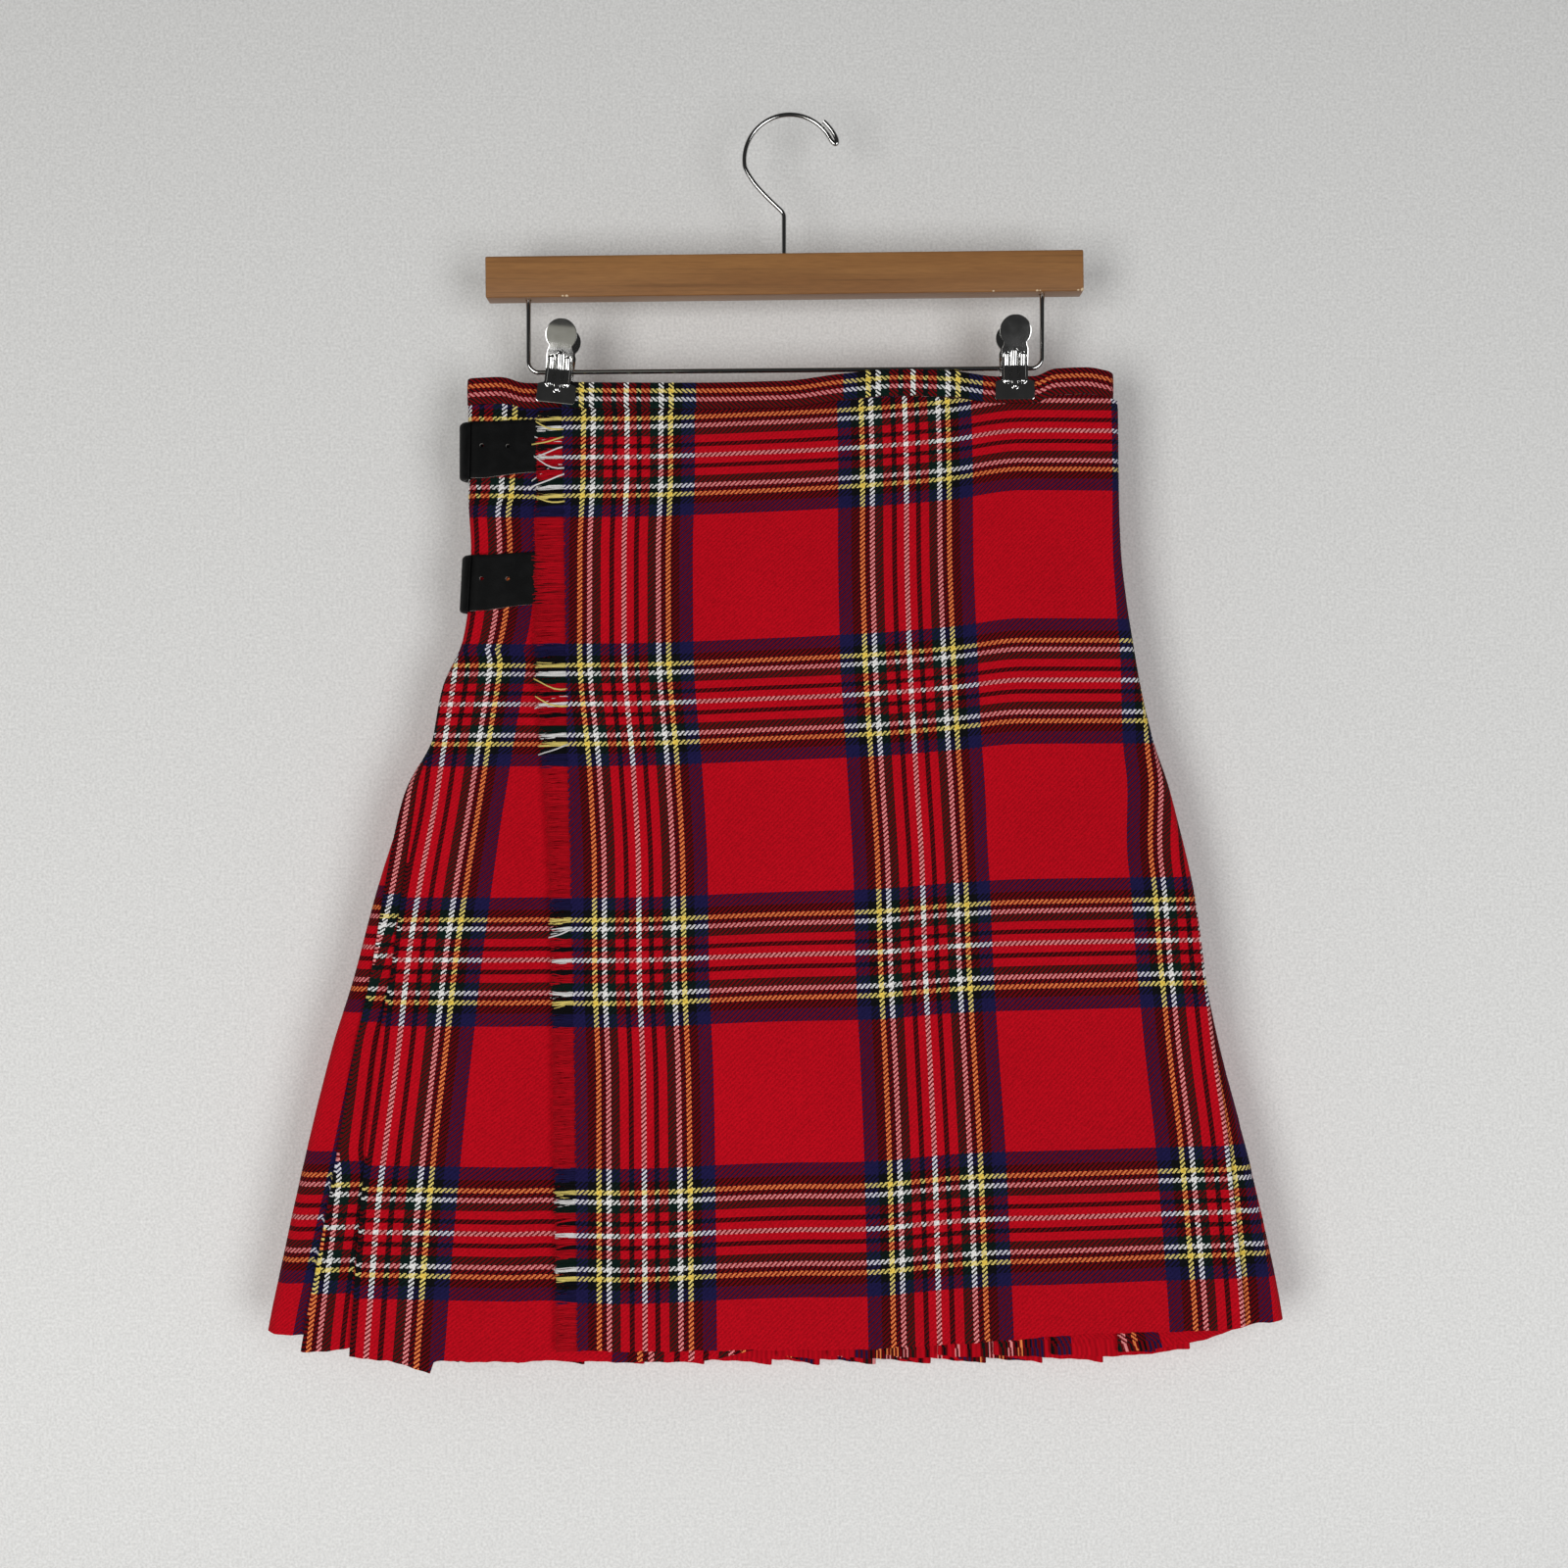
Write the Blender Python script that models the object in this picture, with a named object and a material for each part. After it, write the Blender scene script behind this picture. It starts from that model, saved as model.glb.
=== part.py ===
"""A Scottish kilt hanging from a wooden clip hanger.

Metres, +Z up.  The origin is on the middle of the hook's wire, at the top of its arc.
The front of the kilt faces -Y, and its fringed edge is at -X.

The cloth is laid out in rows from the waist to the hem.  Each row has an envelope, a flat loop
with round ends, and every layer of cloth is a path of (distance along the loop, depth inside it).
Distance 0 is the right-hand end of the loop, and it grows across the back to the left-hand end
and then along the front.
"""
import math

import bmesh
import bpy
import numpy as np
from mathutils import Matrix, Vector

MM = 0.001

# Cloth
CLOTH = 1.15 * MM
GAP = 0.35 * MM
LEATHER = 2.0 * MM
BAND_WALL = 1.8 * MM
BAND_HEIGHT = 16.0 * MM
SEAM = 0.7 * MM
BAND_DEPTH = 4.2 * MM
BAND_UNDER_DEPTH = -0.5 * MM
# Angles of the band's plan round an end (degrees)
BAND_END_ANGLES = (-55.0, -18.0, 18.0, 55.0)
BAND_FRONT_STEPS = 3
BAND_BACK_STEPS = 16
BAND_UNDER_STEPS = 10
# Longest mitre of an offset corner, as the least cosine it divides by
MITRE_LIMIT = 0.45

# Height of the nominal rows: the cloth's top just below the waistband, and the hem
ROW_TOP = -171.0 * MM
ROW_HEM = -752.0 * MM

# Rows between these two are level: above and below they follow the waist and the hem
LEVEL_FROM = 0.16
LEVEL_TO = 0.6

# Rows of the cloth, as a fraction of the way from the waistband to the hem
ROWS = (0.0, 0.07, 0.16, 0.225, 0.29, 0.37, 0.46, 0.6, 0.78, 1.0)

# Columns: height Z, left edge X, right edge X, of the outline seen from the front (mm)
OUTLINE = (
    (-156.0, -196.0, 199.0),
    (-176.0, -195.6, 202.2),
    (-231.0, -195.6, 202.8),
    (-266.0, -194.0, 204.0),
    (-299.0, -195.5, 207.6),
    (-322.0, -199.0, 211.2),
    (-350.0, -211.2, 216.0),
    (-384.0, -219.5, 224.0),
    (-409.0, -232.0, 232.5),
    (-433.0, -240.6, 239.0),
    (-475.0, -253.5, 249.0),
    (-530.0, -267.6, 258.0),
    (-570.0, -279.5, 265.2),
    (-637.0, -295.2, 280.0),
    (-700.0, -308.5, 293.0),
    (-745.0, -317.7, 301.5),
)

# Columns: row fraction, end radius, front bulge, back bulge, layer pitch, tuck depth / reveal (mm)
LOOP = (
    (0.00, 5.1, 0.0, 0.0, 1.55, 0.42),
    (0.10, 5.8, 2.0, 3.0, 1.58, 0.45),
    (0.37, 7.0, 8.0, 9.0, 1.65, 0.50),
    (0.70, 8.9, 14.0, 15.0, 1.95, 0.66),
    (1.00, 11.0, 18.0, 19.0, 2.20, 0.76),
)
# How fully the bulges fill the loop's ends
SWELL_POWER = 1.5

# Fold edges of the pleats, as a fraction of the way from the first edge to the last one
PLEAT_EDGES = (
    0.0, 0.088, 0.150, 0.208, 0.265, 0.322, 0.380, 0.430, 0.500,
    0.562, 0.624, 0.690, 0.752, 0.812, 0.871, 0.931, 1.0,
)

# Columns: row fraction, first edge from the right end, last edge from the left end,
# edge of the under apron from the left end (mm along the loop)
EDGE_PLACES = (
    (0.000, 23.0, -26.0, -3.0),
    (0.200, 26.0, -20.0, -1.0),
    (0.300, 28.5, -16.0, 2.0),
    (0.367, 30.0, -8.0, 6.7),
    (0.440, 34.0, 5.0, 16.0),
    (0.520, 39.0, 12.8, 24.0),
    (0.660, 46.0, 21.0, 34.0),
    (0.817, 53.0, 27.6, 46.0),
    (1.000, 61.6, 30.9, 60.8),
)

# Columns: row fraction, apron fold's distance in from the right outline,
# X of the fringe's root, X of the under apron's hidden edge (mm)
APRON_PLACES = (
    (0.00, 0.6, -138.0, 120.0),
    (0.37, 0.7, -134.0, 136.0),
    (0.50, 1.3, -132.0, 142.0),
    (0.62, 3.6, -130.0, 150.0),
    (0.77, 11.0, -128.5, 158.0),
    (0.87, 18.0, -127.5, 162.0),
    (1.00, 26.4, -127.0, 166.0),
)

# Columns: X, Z of the waistband's top edge along the front (mm)
WAIST = (
    (-197.0, -162.4),
    (-171.0, -161.4),
    (-150.0, -163.0),
    (-125.0, -164.7),
    (-60.0, -165.0),
    (-2.0, -163.8),
    (34.0, -159.4),
    (70.0, -156.8),
    (100.0, -157.8),
    (128.0, -161.2),
    (150.0, -161.0),
    (163.0, -156.4),
    (182.0, -155.6),
    (200.0, -159.0),
)

# Columns: X, Z of the waistband's top edge along the back and the hidden front (mm)
BACK_WAIST = (
    (-197.0, -162.4),
    (-150.0, -164.4),
    (150.0, -162.6),
    (200.0, -159.0),
)

# Columns: X, Z of the outer apron's hem (mm)
APRON_HEM = (
    (-130.0, -749.4),
    (0.0, -748.0),
    (60.0, -746.8),
    (120.0, -744.8),
    (190.0, -740.6),
    (240.0, -741.0),
    (262.0, -740.4),
    (300.0, -736.0),
)

# Columns: X, Z of the under apron's hem (mm)
UNDER_HEM = (
    (-266.0, -759.4),
    (-240.0, -761.0),
    (-216.0, -766.5),
    (-209.0, -759.6),
    (-50.0, -757.5),
    (0.0, -745.0),
    (170.0, -736.0),
)

# Columns: distance along the loop / its length from right end to left end, Z of the pleats' hem (mm)
PLEAT_HEM = (
    (0.00, -736.0),
    (0.08, -752.0),
    (0.18, -764.0),
    (0.50, -769.0),
    (0.82, -764.0),
    (0.93, -754.0),
    (1.00, -744.6),
    (1.05, -752.6),
    (1.15, -753.5),
)
PLEAT_SAG = 4.5 * MM
TUCK_LIFT = 2.5 * MM
# Reach of a folded edge beyond its layers, as a share of the layer pitch
FOLD_TIP_SHARE = 0.68
# How late a pleat's face sinks below the next edge
FACE_CURVE = 1.3
# The pleats from this edge on round the left end, so their layers have more steps
TURNING_EDGE = 15
TURNING_LAYER_STEPS = 4
TURNING_FACE_STEPS = 6
FLAT_LAYER_STEPS = 1
FLAT_FACE_STEPS = 2

# Columns: X, top Z, bottom Z, width, height toward the viewer, of the apron's soft folds (mm)
APRON_FOLDS = (
    (-95.0, -470.0, -900.0, 26.0, 2.4),
    (-30.0, -300.0, -820.0, 44.0, -2.0),
    (45.0, -420.0, -900.0, 30.0, 2.6),
    (118.0, -170.0, -260.0, 12.0, 2.2),
    (128.0, -380.0, -900.0, 34.0, -2.2),
    (196.0, -450.0, -900.0, 24.0, 2.4),
)

APRON_STEPS = 22
APRON_TUCK = 52.0 * MM
# The turned-in layers' stations before the fold: a share of the tuck, two of the end's quarter
TUCK_STATION = 0.45
QUARTER_STATIONS = (0.7, 0.3)
RIGHT_LAYERS = 2.25
RIGHT_START = 1.5 * MM
RIGHT_STEPS = 9
RIGHT_RISE_END = 0.3
RIGHT_SINK_START = 0.6
UNDER_APRON_DEPTH = 3.9 * MM
UNDER_RAMP_START = 41.0 * MM
UNDER_RAMP_END = 19.0 * MM
# The under apron's first stretch beyond its edge, in tuck depths
UNDER_TURN = 1.5
# Stations of the under apron, as shares of its first stretch, its ramp and its hidden panel
UNDER_TURN_SHARES = (0.0, 0.17, 0.33, 0.5, 0.67, 1.0)
UNDER_RAMP_SHARES = (0.0, 0.33, 0.67)
UNDER_PANEL_SHARES = (0.0, 0.1, 0.22, 0.36, 0.5, 0.64, 0.78, 0.9, 1.0)

# Fringe of the outer apron
STRIP_WIDTH = 5.0 * MM
STRANDS = 160
STRAND_SHARE = 0.58
STRAND_LIFT = 0.6 * MM
STRAND_TAPER = 0.55
# Columns: height Z, strand length (mm)
FRINGE_LENGTHS = (
    (-171.0, 15.5),
    (-230.0, 17.5),
    (-380.0, 16.5),
    (-460.0, 13.5),
    (-752.0, 13.0),
)

# Columns: name, top Z, bottom Z (mm), of the straps
STRAPS = (
    ("upper", -187.4, -219.6),
    ("lower", -268.4, -300.4),
)
STRAP_START_X = -128.0 * MM
STRAP_TIP_X = -98.0 * MM
STRAP_HOLE_RADIUS = 1.5 * MM
STRAP_HOLES_X = (-186.0 * MM, -170.5 * MM)
# The prong's slot: its middle from halfway between the buckle's bars, and its stretch along X
SLOT_OFFSET = 1.1 * MM
SLOT_STRETCH = 2.8
CUT_START = 1.0 * MM
CUT_END = 22.0 * MM
# X of the strap's stations on the front, up to the left end, and on the back (mm)
STRAP_FLAT_END = -172.0
STRAP_FLAT_STEPS = 7
STRAP_LAST_FRONT = -179.0
STRAP_BACK_STATIONS = (
    -185.0, -174.0, -165.0, -158.0, -154.5, -151.0, -147.0,
    -143.0, -139.0, -135.0, -129.0, -122.0, -113.0,
)
# Where the strap climbs over the chape's loop: from the front bar, and before and after the heel bar
CLIMB_START = 1.5 * MM
CLIMB_END = 3.5 * MM
FALL_START = 4.0 * MM
FALL_END = 26.0 * MM
KEEPER_WALL = 1.0 * MM
KEEPER_CLEARANCE = 0.25 * MM
KEEPER_REACH = 7.0 * MM
# Stations of the strap round the left end, as shares of the keeper's reach
KEEPER_STATIONS = (1.35, 1.0, 0.6, 0.2, -0.2, -0.6, -1.0, -1.35)
KEEPER_LEAD = 2.4

# Buckles on the back: X of the front bar and of the heel bar
FRONT_BAR_X = -161.0 * MM
HEEL_BAR_X = -140.0 * MM
CHAPE_WALL = 1.2 * MM
CHAPE_INSET = 2.0 * MM
PRONG_RADIUS = 0.85 * MM
BUCKLE_WIRE = 1.2 * MM
BUCKLE_MARGIN = 4.5 * MM
BUCKLE_CORNER = 3.0 * MM
LOOP_CLEARANCE = 0.9 * MM
# X of the chape's tab (mm), and the angles of its loop round the heel bar (degrees)
CHAPE_TAB_X = (-104.0, -116.0, -128.0)
CHAPE_LOOP_ANGLES = (60.0, 90.0, 130.0, 170.0, 210.0, 250.0, 290.0, 330.0, 360.0)
# Columns: X from the heel bar, height above it, of the prong's start (mm)
PRONG_START = ((-3.9, 1.3), (-8.5, 2.4))
# Columns: X from the front bar, height above its rest there, of the prong's tip (mm)
PRONG_TIP = ((6.0, 0.1), (-2.0, 0.0))

# Hanger
BAR_LENGTH = 364.0 * MM
BAR_HEIGHT = 25.0 * MM
BAR_THICKNESS = 16.0 * MM
BAR_CENTRE = Vector((-2.1, 0.0, -99.3)) * MM
BAR_TILT = math.radians(0.66)
BAR_BEVEL = 0.8 * MM
WIRE = 1.5 * MM
HOLE_CLEARANCE = 0.4 * MM
HOOK_STEM_X = -2.4 * MM
HOOK_SINK = 12.0 * MM
HOOK_ARC_CENTRE = Vector((1.2, 0.0, -27.9)) * MM
HOOK_ARC_RADIUS = 26.4 * MM
HOOK_ARC_ANGLES = (208.0, 27.0)
HOOK_ARC_STEPS = 22
# Columns: X, Z of the hook's stem above the bar, its bend and its straight run (mm)
HOOK_STEM = ((-2.4, -64.0), (-2.8, -61.6), (-4.2, -59.2), (-19.0, -44.0))
# Columns: angle on the arc, distance outside it in wire radii, of the folded tip
HOOK_TIP = (
    (21.5, 0.3), (17.5, 1.125), (17.5, 2.25), (22.0, 2.45), (30.0, 2.45), (40.0, 2.45), (49.0, 2.45),
)
ROD_LEFT = Vector((-158.8, 0.0, -157.8)) * MM
ROD_RIGHT = Vector((155.6, 0.0, -155.2)) * MM
ROD_BEND = 6.5 * MM
ROD_SINK = 8.0 * MM
ROD_BEND_ANGLES = (22.5, 45.0, 67.5)

# Clips: columns are name, X where the rod passes, lean in degrees
CLIPS = (
    ("left", -139.6, -6.0),
    ("right", 138.2, 0.5),
)
JAW_PLATE = 1.2 * MM
# Columns: height above the rod, half width, distance of the plate's middle from the rod (mm)
JAW = (
    (28.4, 1.8, 12.2),
    (27.4, 5.0, 12.1),
    (24.8, 8.0, 11.8),
    (20.7, 9.5, 11.2),
    (16.6, 8.6, 10.4),
    (13.4, 7.0, 9.4),
    (8.6, 7.0, 7.7),
    (7.4, 8.0, 7.2),
    (0.0, 8.0, 5.2),
    (-7.4, 8.0, 5.9),
    (-9.0, 11.8, 6.05),
    (-18.6, 12.0, 6.05),
    (-20.0, 11.0, 6.05),
)
# Shares of the half width at the jaw's four columns
JAW_ACROSS = (-1.0, -0.4, 0.4, 1.0)
EAR_RADIUS = 4.4 * MM
EAR_PLATE = 1.0 * MM
# Reach of an ear from the rod, toward its plate and away from it
EAR_TOWARD = 5.4 * MM
EAR_AWAY = 2.6 * MM
BORE_REACH = 20.0 * MM
FRONT_EAR_X = 6.9 * MM
BACK_EAR_X = 5.4 * MM
SPRING_RADIUS = 3.1 * MM
SPRING_HALF_LENGTH = 4.3 * MM
SPRING_SIDES = 12

# Columns: colour, roughness, metallic
FINISHES = {
    "tartan": ((0.42, 0.01, 0.02), 0.9, 0.0),
    "pleats": ((0.30, 0.01, 0.02), 0.9, 0.0),
    "fringe": ((0.50, 0.02, 0.03), 0.9, 0.0),
    "leather": ((0.012, 0.012, 0.013), 0.55, 0.0),
    "chrome": ((0.75, 0.76, 0.78), 0.12, 1.0),
    "wood": ((0.42, 0.24, 0.12), 0.5, 0.0),
}


def column(table, value, index):
    """Read one column of a table at a value of its first column."""
    firsts = [row[0] for row in table]
    return float(np.interp(value, firsts, [row[index] for row in table]))


def height_column(table, z, index):
    """Read one column of a table whose first column is a falling height in mm."""
    firsts = [-row[0] for row in table]
    return float(np.interp(-z / MM, firsts, [row[index] for row in table]))


def smooth_step(value, start, end):
    share = min(max((value - start) / (end - start), 0.0), 1.0)
    return share * share * (3.0 - 2.0 * share)


def row_height(row):
    return ROW_TOP + row * (ROW_HEM - ROW_TOP)


def row_of_height(z):
    return (z - ROW_TOP) / (ROW_HEM - ROW_TOP)


def cloth_height(row, top, bottom):
    """Height of a row's point: level in the middle, following the real edges at both ends."""
    at_top = 1.0 - smooth_step(row, 0.0, LEVEL_FROM)
    at_bottom = smooth_step(row, LEVEL_TO, 1.0)
    return row_height(row) + (top - ROW_TOP) * at_top + (bottom - ROW_HEM) * at_bottom


def soft_folds(x, z):
    """Height of the apron's soft folds toward the viewer."""
    total = 0.0
    for centre, top, bottom, width, height in APRON_FOLDS:
        if bottom * MM < z < top * MM:
            across = math.exp(-((x - centre * MM) / (width * MM)) ** 2)
            along = math.sin(math.pi * (top * MM - z) / ((top - bottom) * MM))
            total += height * MM * across * along
    return total


class Envelope:
    """The loop that the cloth's outer layer follows in one row."""

    ARC_STEPS = 20
    SIDE_STEPS = 120
    TANGENT_REACH = 0.4 * MM

    def __init__(self, row):
        self.row = row
        z = row_height(row)
        self.left = height_column(OUTLINE, z, 1) * MM + CLOTH / 2
        self.right = height_column(OUTLINE, z, 2) * MM - CLOTH / 2
        self.radius = column(LOOP, row, 1) * MM
        self.front_bulge = column(LOOP, row, 2) * MM
        self.back_bulge = column(LOOP, row, 3) * MM
        self.pitch = column(LOOP, row, 4) * MM
        self.tuck_share = column(LOOP, row, 5)
        self.quarter = math.pi / 2 * self.radius
        self.points = self.trace(z)
        steps = np.diff(self.points, axis=0)
        self.lengths = np.concatenate([[0.0], np.cumsum(np.hypot(steps[:, 0], steps[:, 1]))])
        self.total = self.lengths[-1]
        left_end = self.ARC_STEPS + self.SIDE_STEPS + self.ARC_STEPS
        self.left_end = self.lengths[left_end]
        self.front_start = left_end + self.ARC_STEPS

    def trace(self, z):
        """Points from the right end, over the back to the left end, and along the front."""
        start = self.right - self.radius
        end = self.left + self.radius
        middle = (start + end) / 2
        half = (start - end) / 2
        points = []
        for step in range(self.ARC_STEPS):
            angle = math.pi / 2 * step / self.ARC_STEPS
            points.append((start + self.radius * math.cos(angle), self.radius * math.sin(angle)))
        for step in range(self.SIDE_STEPS):
            x = start + (end - start) * step / self.SIDE_STEPS
            swell = (1.0 - ((x - middle) / half) ** 2) ** SWELL_POWER
            points.append((x, self.radius + self.back_bulge * swell))
        for step in range(2 * self.ARC_STEPS):
            angle = math.pi / 2 + math.pi / 2 * step / self.ARC_STEPS
            points.append((end + self.radius * math.cos(angle), self.radius * math.sin(angle)))
        for step in range(self.SIDE_STEPS):
            x = end + (start - end) * step / self.SIDE_STEPS
            swell = (1.0 - ((x - middle) / half) ** 2) ** SWELL_POWER
            depth = self.radius + swell * (self.front_bulge + soft_folds(x, z))
            points.append((x, -depth))
        for step in range(self.ARC_STEPS + 1):
            angle = -math.pi / 2 + math.pi / 2 * step / self.ARC_STEPS
            points.append((start + self.radius * math.cos(angle), self.radius * math.sin(angle)))
        return np.array(points)

    def place(self, distance, depth):
        """The point at a distance along the loop and a depth inside it."""
        ahead = self.on_loop(distance + self.TANGENT_REACH)
        behind = self.on_loop(distance - self.TANGENT_REACH)
        tangent = (ahead - behind) / np.hypot(*(ahead - behind))
        inward = np.array([-tangent[1], tangent[0]])
        return self.on_loop(distance) + inward * depth

    def on_loop(self, distance):
        """The point on the loop itself, at any distance however often it goes round."""
        around = distance % self.total
        x = np.interp(around, self.lengths, self.points[:, 0])
        y = np.interp(around, self.lengths, self.points[:, 1])
        return np.array([x, y])

    def front_distance(self, x):
        """Distance along the loop of the front at X."""
        xs = self.points[self.front_start:self.front_start + self.SIDE_STEPS, 0]
        lengths = self.lengths[self.front_start:self.front_start + self.SIDE_STEPS]
        return float(np.interp(x, xs, lengths))

    def back_distance(self, x):
        """Distance along the loop of the back at X."""
        xs = self.points[self.ARC_STEPS:self.ARC_STEPS + self.SIDE_STEPS, 0]
        lengths = self.lengths[self.ARC_STEPS:self.ARC_STEPS + self.SIDE_STEPS]
        return float(np.interp(-x, -xs, lengths))

    def end_distance(self, inset):
        """Distance from an end of the loop to the point seen this far in from the outline."""
        if inset < self.radius:
            return self.radius * math.acos(1.0 - inset / self.radius)
        return self.quarter + inset - self.radius

    def apron_fold(self):
        """Distance along the loop of the outer apron's folded edge."""
        return -self.end_distance(column(APRON_PLACES, self.row, 1) * MM)

    def edge(self, index):
        """Distance along the loop of a pleat's fold edge."""
        first = column(EDGE_PLACES, self.row, 1) * MM
        last = self.left_end + column(EDGE_PLACES, self.row, 2) * MM
        if index < len(PLEAT_EDGES):
            return first + (last - first) * PLEAT_EDGES[index]
        return self.left_end + column(EDGE_PLACES, self.row, 3) * MM

    def tuck(self, index):
        """Depth of the fold behind a pleat's edge."""
        reveals = []
        if index > 0:
            reveals.append(self.edge(index) - self.edge(index - 1))
        if index < len(PLEAT_EDGES):
            reveals.append(self.edge(index + 1) - self.edge(index))
        return min(reveals) * self.tuck_share


def fold_tip(pitch):
    return FOLD_TIP_SHARE * pitch


def pleat_slope(envelope, index):
    """How fast a pleat's face sinks toward the next edge."""
    if index >= len(PLEAT_EDGES):
        return 0.0
    reveal = envelope.edge(index + 1) - envelope.edge(index)
    return 2.0 * envelope.pitch / reveal


def hidden_layer(envelope, index, layer):
    """Points of a layer behind an edge, from the edge inward: layer 1 returns, layer 2 goes in."""
    edge = envelope.edge(index)
    tuck = envelope.tuck(index)
    slope = pleat_slope(envelope, index)
    steps = TURNING_LAYER_STEPS if index >= TURNING_EDGE else FLAT_LAYER_STEPS
    points = []
    for step in range(steps + 1):
        along = tuck * step / steps
        points.append((edge + along, layer * envelope.pitch + slope * along, TUCK_LIFT))
    return points


def return_and_edge(envelope, index):
    """The returning layer behind an edge, out to the folded edge itself."""
    points = hidden_layer(envelope, index, 1)[::-1]
    edge = envelope.edge(index)
    tip = fold_tip(envelope.pitch)
    points.append((edge - tip, envelope.pitch / 2, -PLEAT_SAG))
    return points


def face(envelope, index):
    """A pleat's visible face, from its own edge to just below the next one."""
    edge = envelope.edge(index)
    reveal = envelope.edge(index + 1) - edge
    steps = TURNING_FACE_STEPS if index >= TURNING_EDGE else FLAT_FACE_STEPS
    points = []
    for step in range(steps):
        share = step / steps
        depth = 2.0 * envelope.pitch * share ** FACE_CURVE
        points.append((edge + reveal * share, depth, -PLEAT_SAG * (1.0 - share)))
    return points


def inner_fold(envelope, index):
    """The hidden fold at the bottom of the tuck behind an edge."""
    tuck = envelope.tuck(index)
    slope = pleat_slope(envelope, index)
    tip = fold_tip(envelope.pitch)
    depth = 1.5 * envelope.pitch + slope * tuck
    return [(envelope.edge(index) + tuck + tip, depth, TUCK_LIFT)]


def right_side(envelope):
    """The cloth from below the apron's fold, round the right end, to the first pleat."""
    fold = envelope.apron_fold()
    deep = RIGHT_LAYERS * envelope.pitch
    start = fold + RIGHT_START
    points = [(distance, deep, 0.0) for distance in tuck_stations(envelope, fold)[::-1]]
    points.append((start, deep, 0.0))
    for step in range(1, RIGHT_STEPS):
        share = step / RIGHT_STEPS
        rise = deep * (1.0 - smooth_step(share, 0.0, RIGHT_RISE_END))
        sink = deep * smooth_step(share, RIGHT_SINK_START, 1.0)
        points.append((start + (envelope.edge(0) - start) * share, rise + sink, 0.0))
    return points


def tuck_stations(envelope, fold):
    """Distances of the layers that are turned in behind the apron's fold, from the fold inward."""
    stations = [fold - share * envelope.quarter for share in QUARTER_STATIONS[::-1]]
    return stations + [fold - TUCK_STATION * APRON_TUCK, fold - APRON_TUCK]


def pleat_run(envelope, first, last):
    """The path of the pleats from one edge up to the tuck behind another."""
    points = right_side(envelope) if first == 0 else return_and_edge(envelope, first)
    if first > 0:
        points += face(envelope, first)
    start = first if first == 0 else first + 1
    for index in range(start, last):
        points += hidden_layer(envelope, index, 2)
        points += inner_fold(envelope, index)
        points += return_and_edge(envelope, index)
        points += face(envelope, index)
    points += hidden_layer(envelope, last, 2)
    return points


def under_apron_path(envelope):
    """The under apron: its own tuck and edge, then the panel that goes below the outer apron."""
    index = len(PLEAT_EDGES)
    points = return_and_edge(envelope, index)
    edge = envelope.edge(index)
    root = column(APRON_PLACES, envelope.row, 2) * MM
    ramp_start = envelope.front_distance(root - UNDER_RAMP_START)
    ramp_end = envelope.front_distance(root - UNDER_RAMP_END)
    hidden_edge = envelope.front_distance(column(APRON_PLACES, envelope.row, 3) * MM)
    turn_end = edge + UNDER_TURN * envelope.tuck(index)
    for share in UNDER_TURN_SHARES:
        points.append((edge + (turn_end - edge) * share, 0.0, 0.0))
    points.append(((turn_end + ramp_start) / 2, 0.0, 0.0))
    for share in UNDER_RAMP_SHARES:
        depth = UNDER_APRON_DEPTH * smooth_step(share, 0.0, 1.0)
        points.append((ramp_start + (ramp_end - ramp_start) * share, depth, 0.0))
    for share in UNDER_PANEL_SHARES:
        points.append((ramp_end + (hidden_edge - ramp_end) * share, UNDER_APRON_DEPTH, 0.0))
    return points


def outer_apron_path(envelope):
    """The outer apron: its face, its fold at the right, and the layer that turns back below."""
    start = envelope.front_distance(column(APRON_PLACES, envelope.row, 2) * MM + STRIP_WIDTH + GAP)
    fold = envelope.total + envelope.apron_fold()
    near_end, far_end = [fold - share * envelope.quarter for share in QUARTER_STATIONS]
    points = []
    for step in range(APRON_STEPS):
        points.append((start + (near_end - start) * step / APRON_STEPS, 0.0, 0.0))
    points += [(distance, 0.0, 0.0) for distance in (near_end, far_end, fold)]
    points.append((fold + fold_tip(envelope.pitch), envelope.pitch / 2, 0.0))
    points.append((fold, envelope.pitch, 0.0))
    points += [(distance, envelope.pitch, 0.0) for distance in tuck_stations(envelope, fold)]
    return points


def apron_hem(share, x):
    return column(APRON_HEM, x / MM, 1) * MM


def under_hem(share, x):
    return column(UNDER_HEM, x / MM, 1) * MM


def pleat_hem(share, x):
    """The pleats' hem by its place along the loop; below the apron's fold it is the apron's."""
    if share < 0.0:
        return apron_hem(share, x)
    return column(PLEAT_HEM, share, 1) * MM


def waist_height(x, y):
    """Height of the waistband's top edge: the front's own curve, blended into the back's."""
    front = column(WAIST, x / MM, 1) * MM
    back = column(BACK_WAIST, x / MM, 1) * MM
    return front + (back - front) * smooth_step(y, -BAND_DEPTH, 0.0)


def offset_line(line, amount):
    """Move a row of points sideways, mitred at the corners."""
    line = np.array(line)
    steps = np.diff(line, axis=0)
    steps = steps / np.hypot(steps[:, 0], steps[:, 1])[:, None]
    normals = np.stack([-steps[:, 1], steps[:, 0]], axis=1)
    before = np.vstack([normals[:1], normals])
    after = np.vstack([normals, normals[-1:]])
    bisector = before + after
    bisector = bisector / np.hypot(bisector[:, 0], bisector[:, 1])[:, None]
    cosine = np.sum(bisector * after, axis=1)
    return line + bisector * (amount / np.maximum(cosine, MITRE_LIMIT))[:, None]


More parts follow.
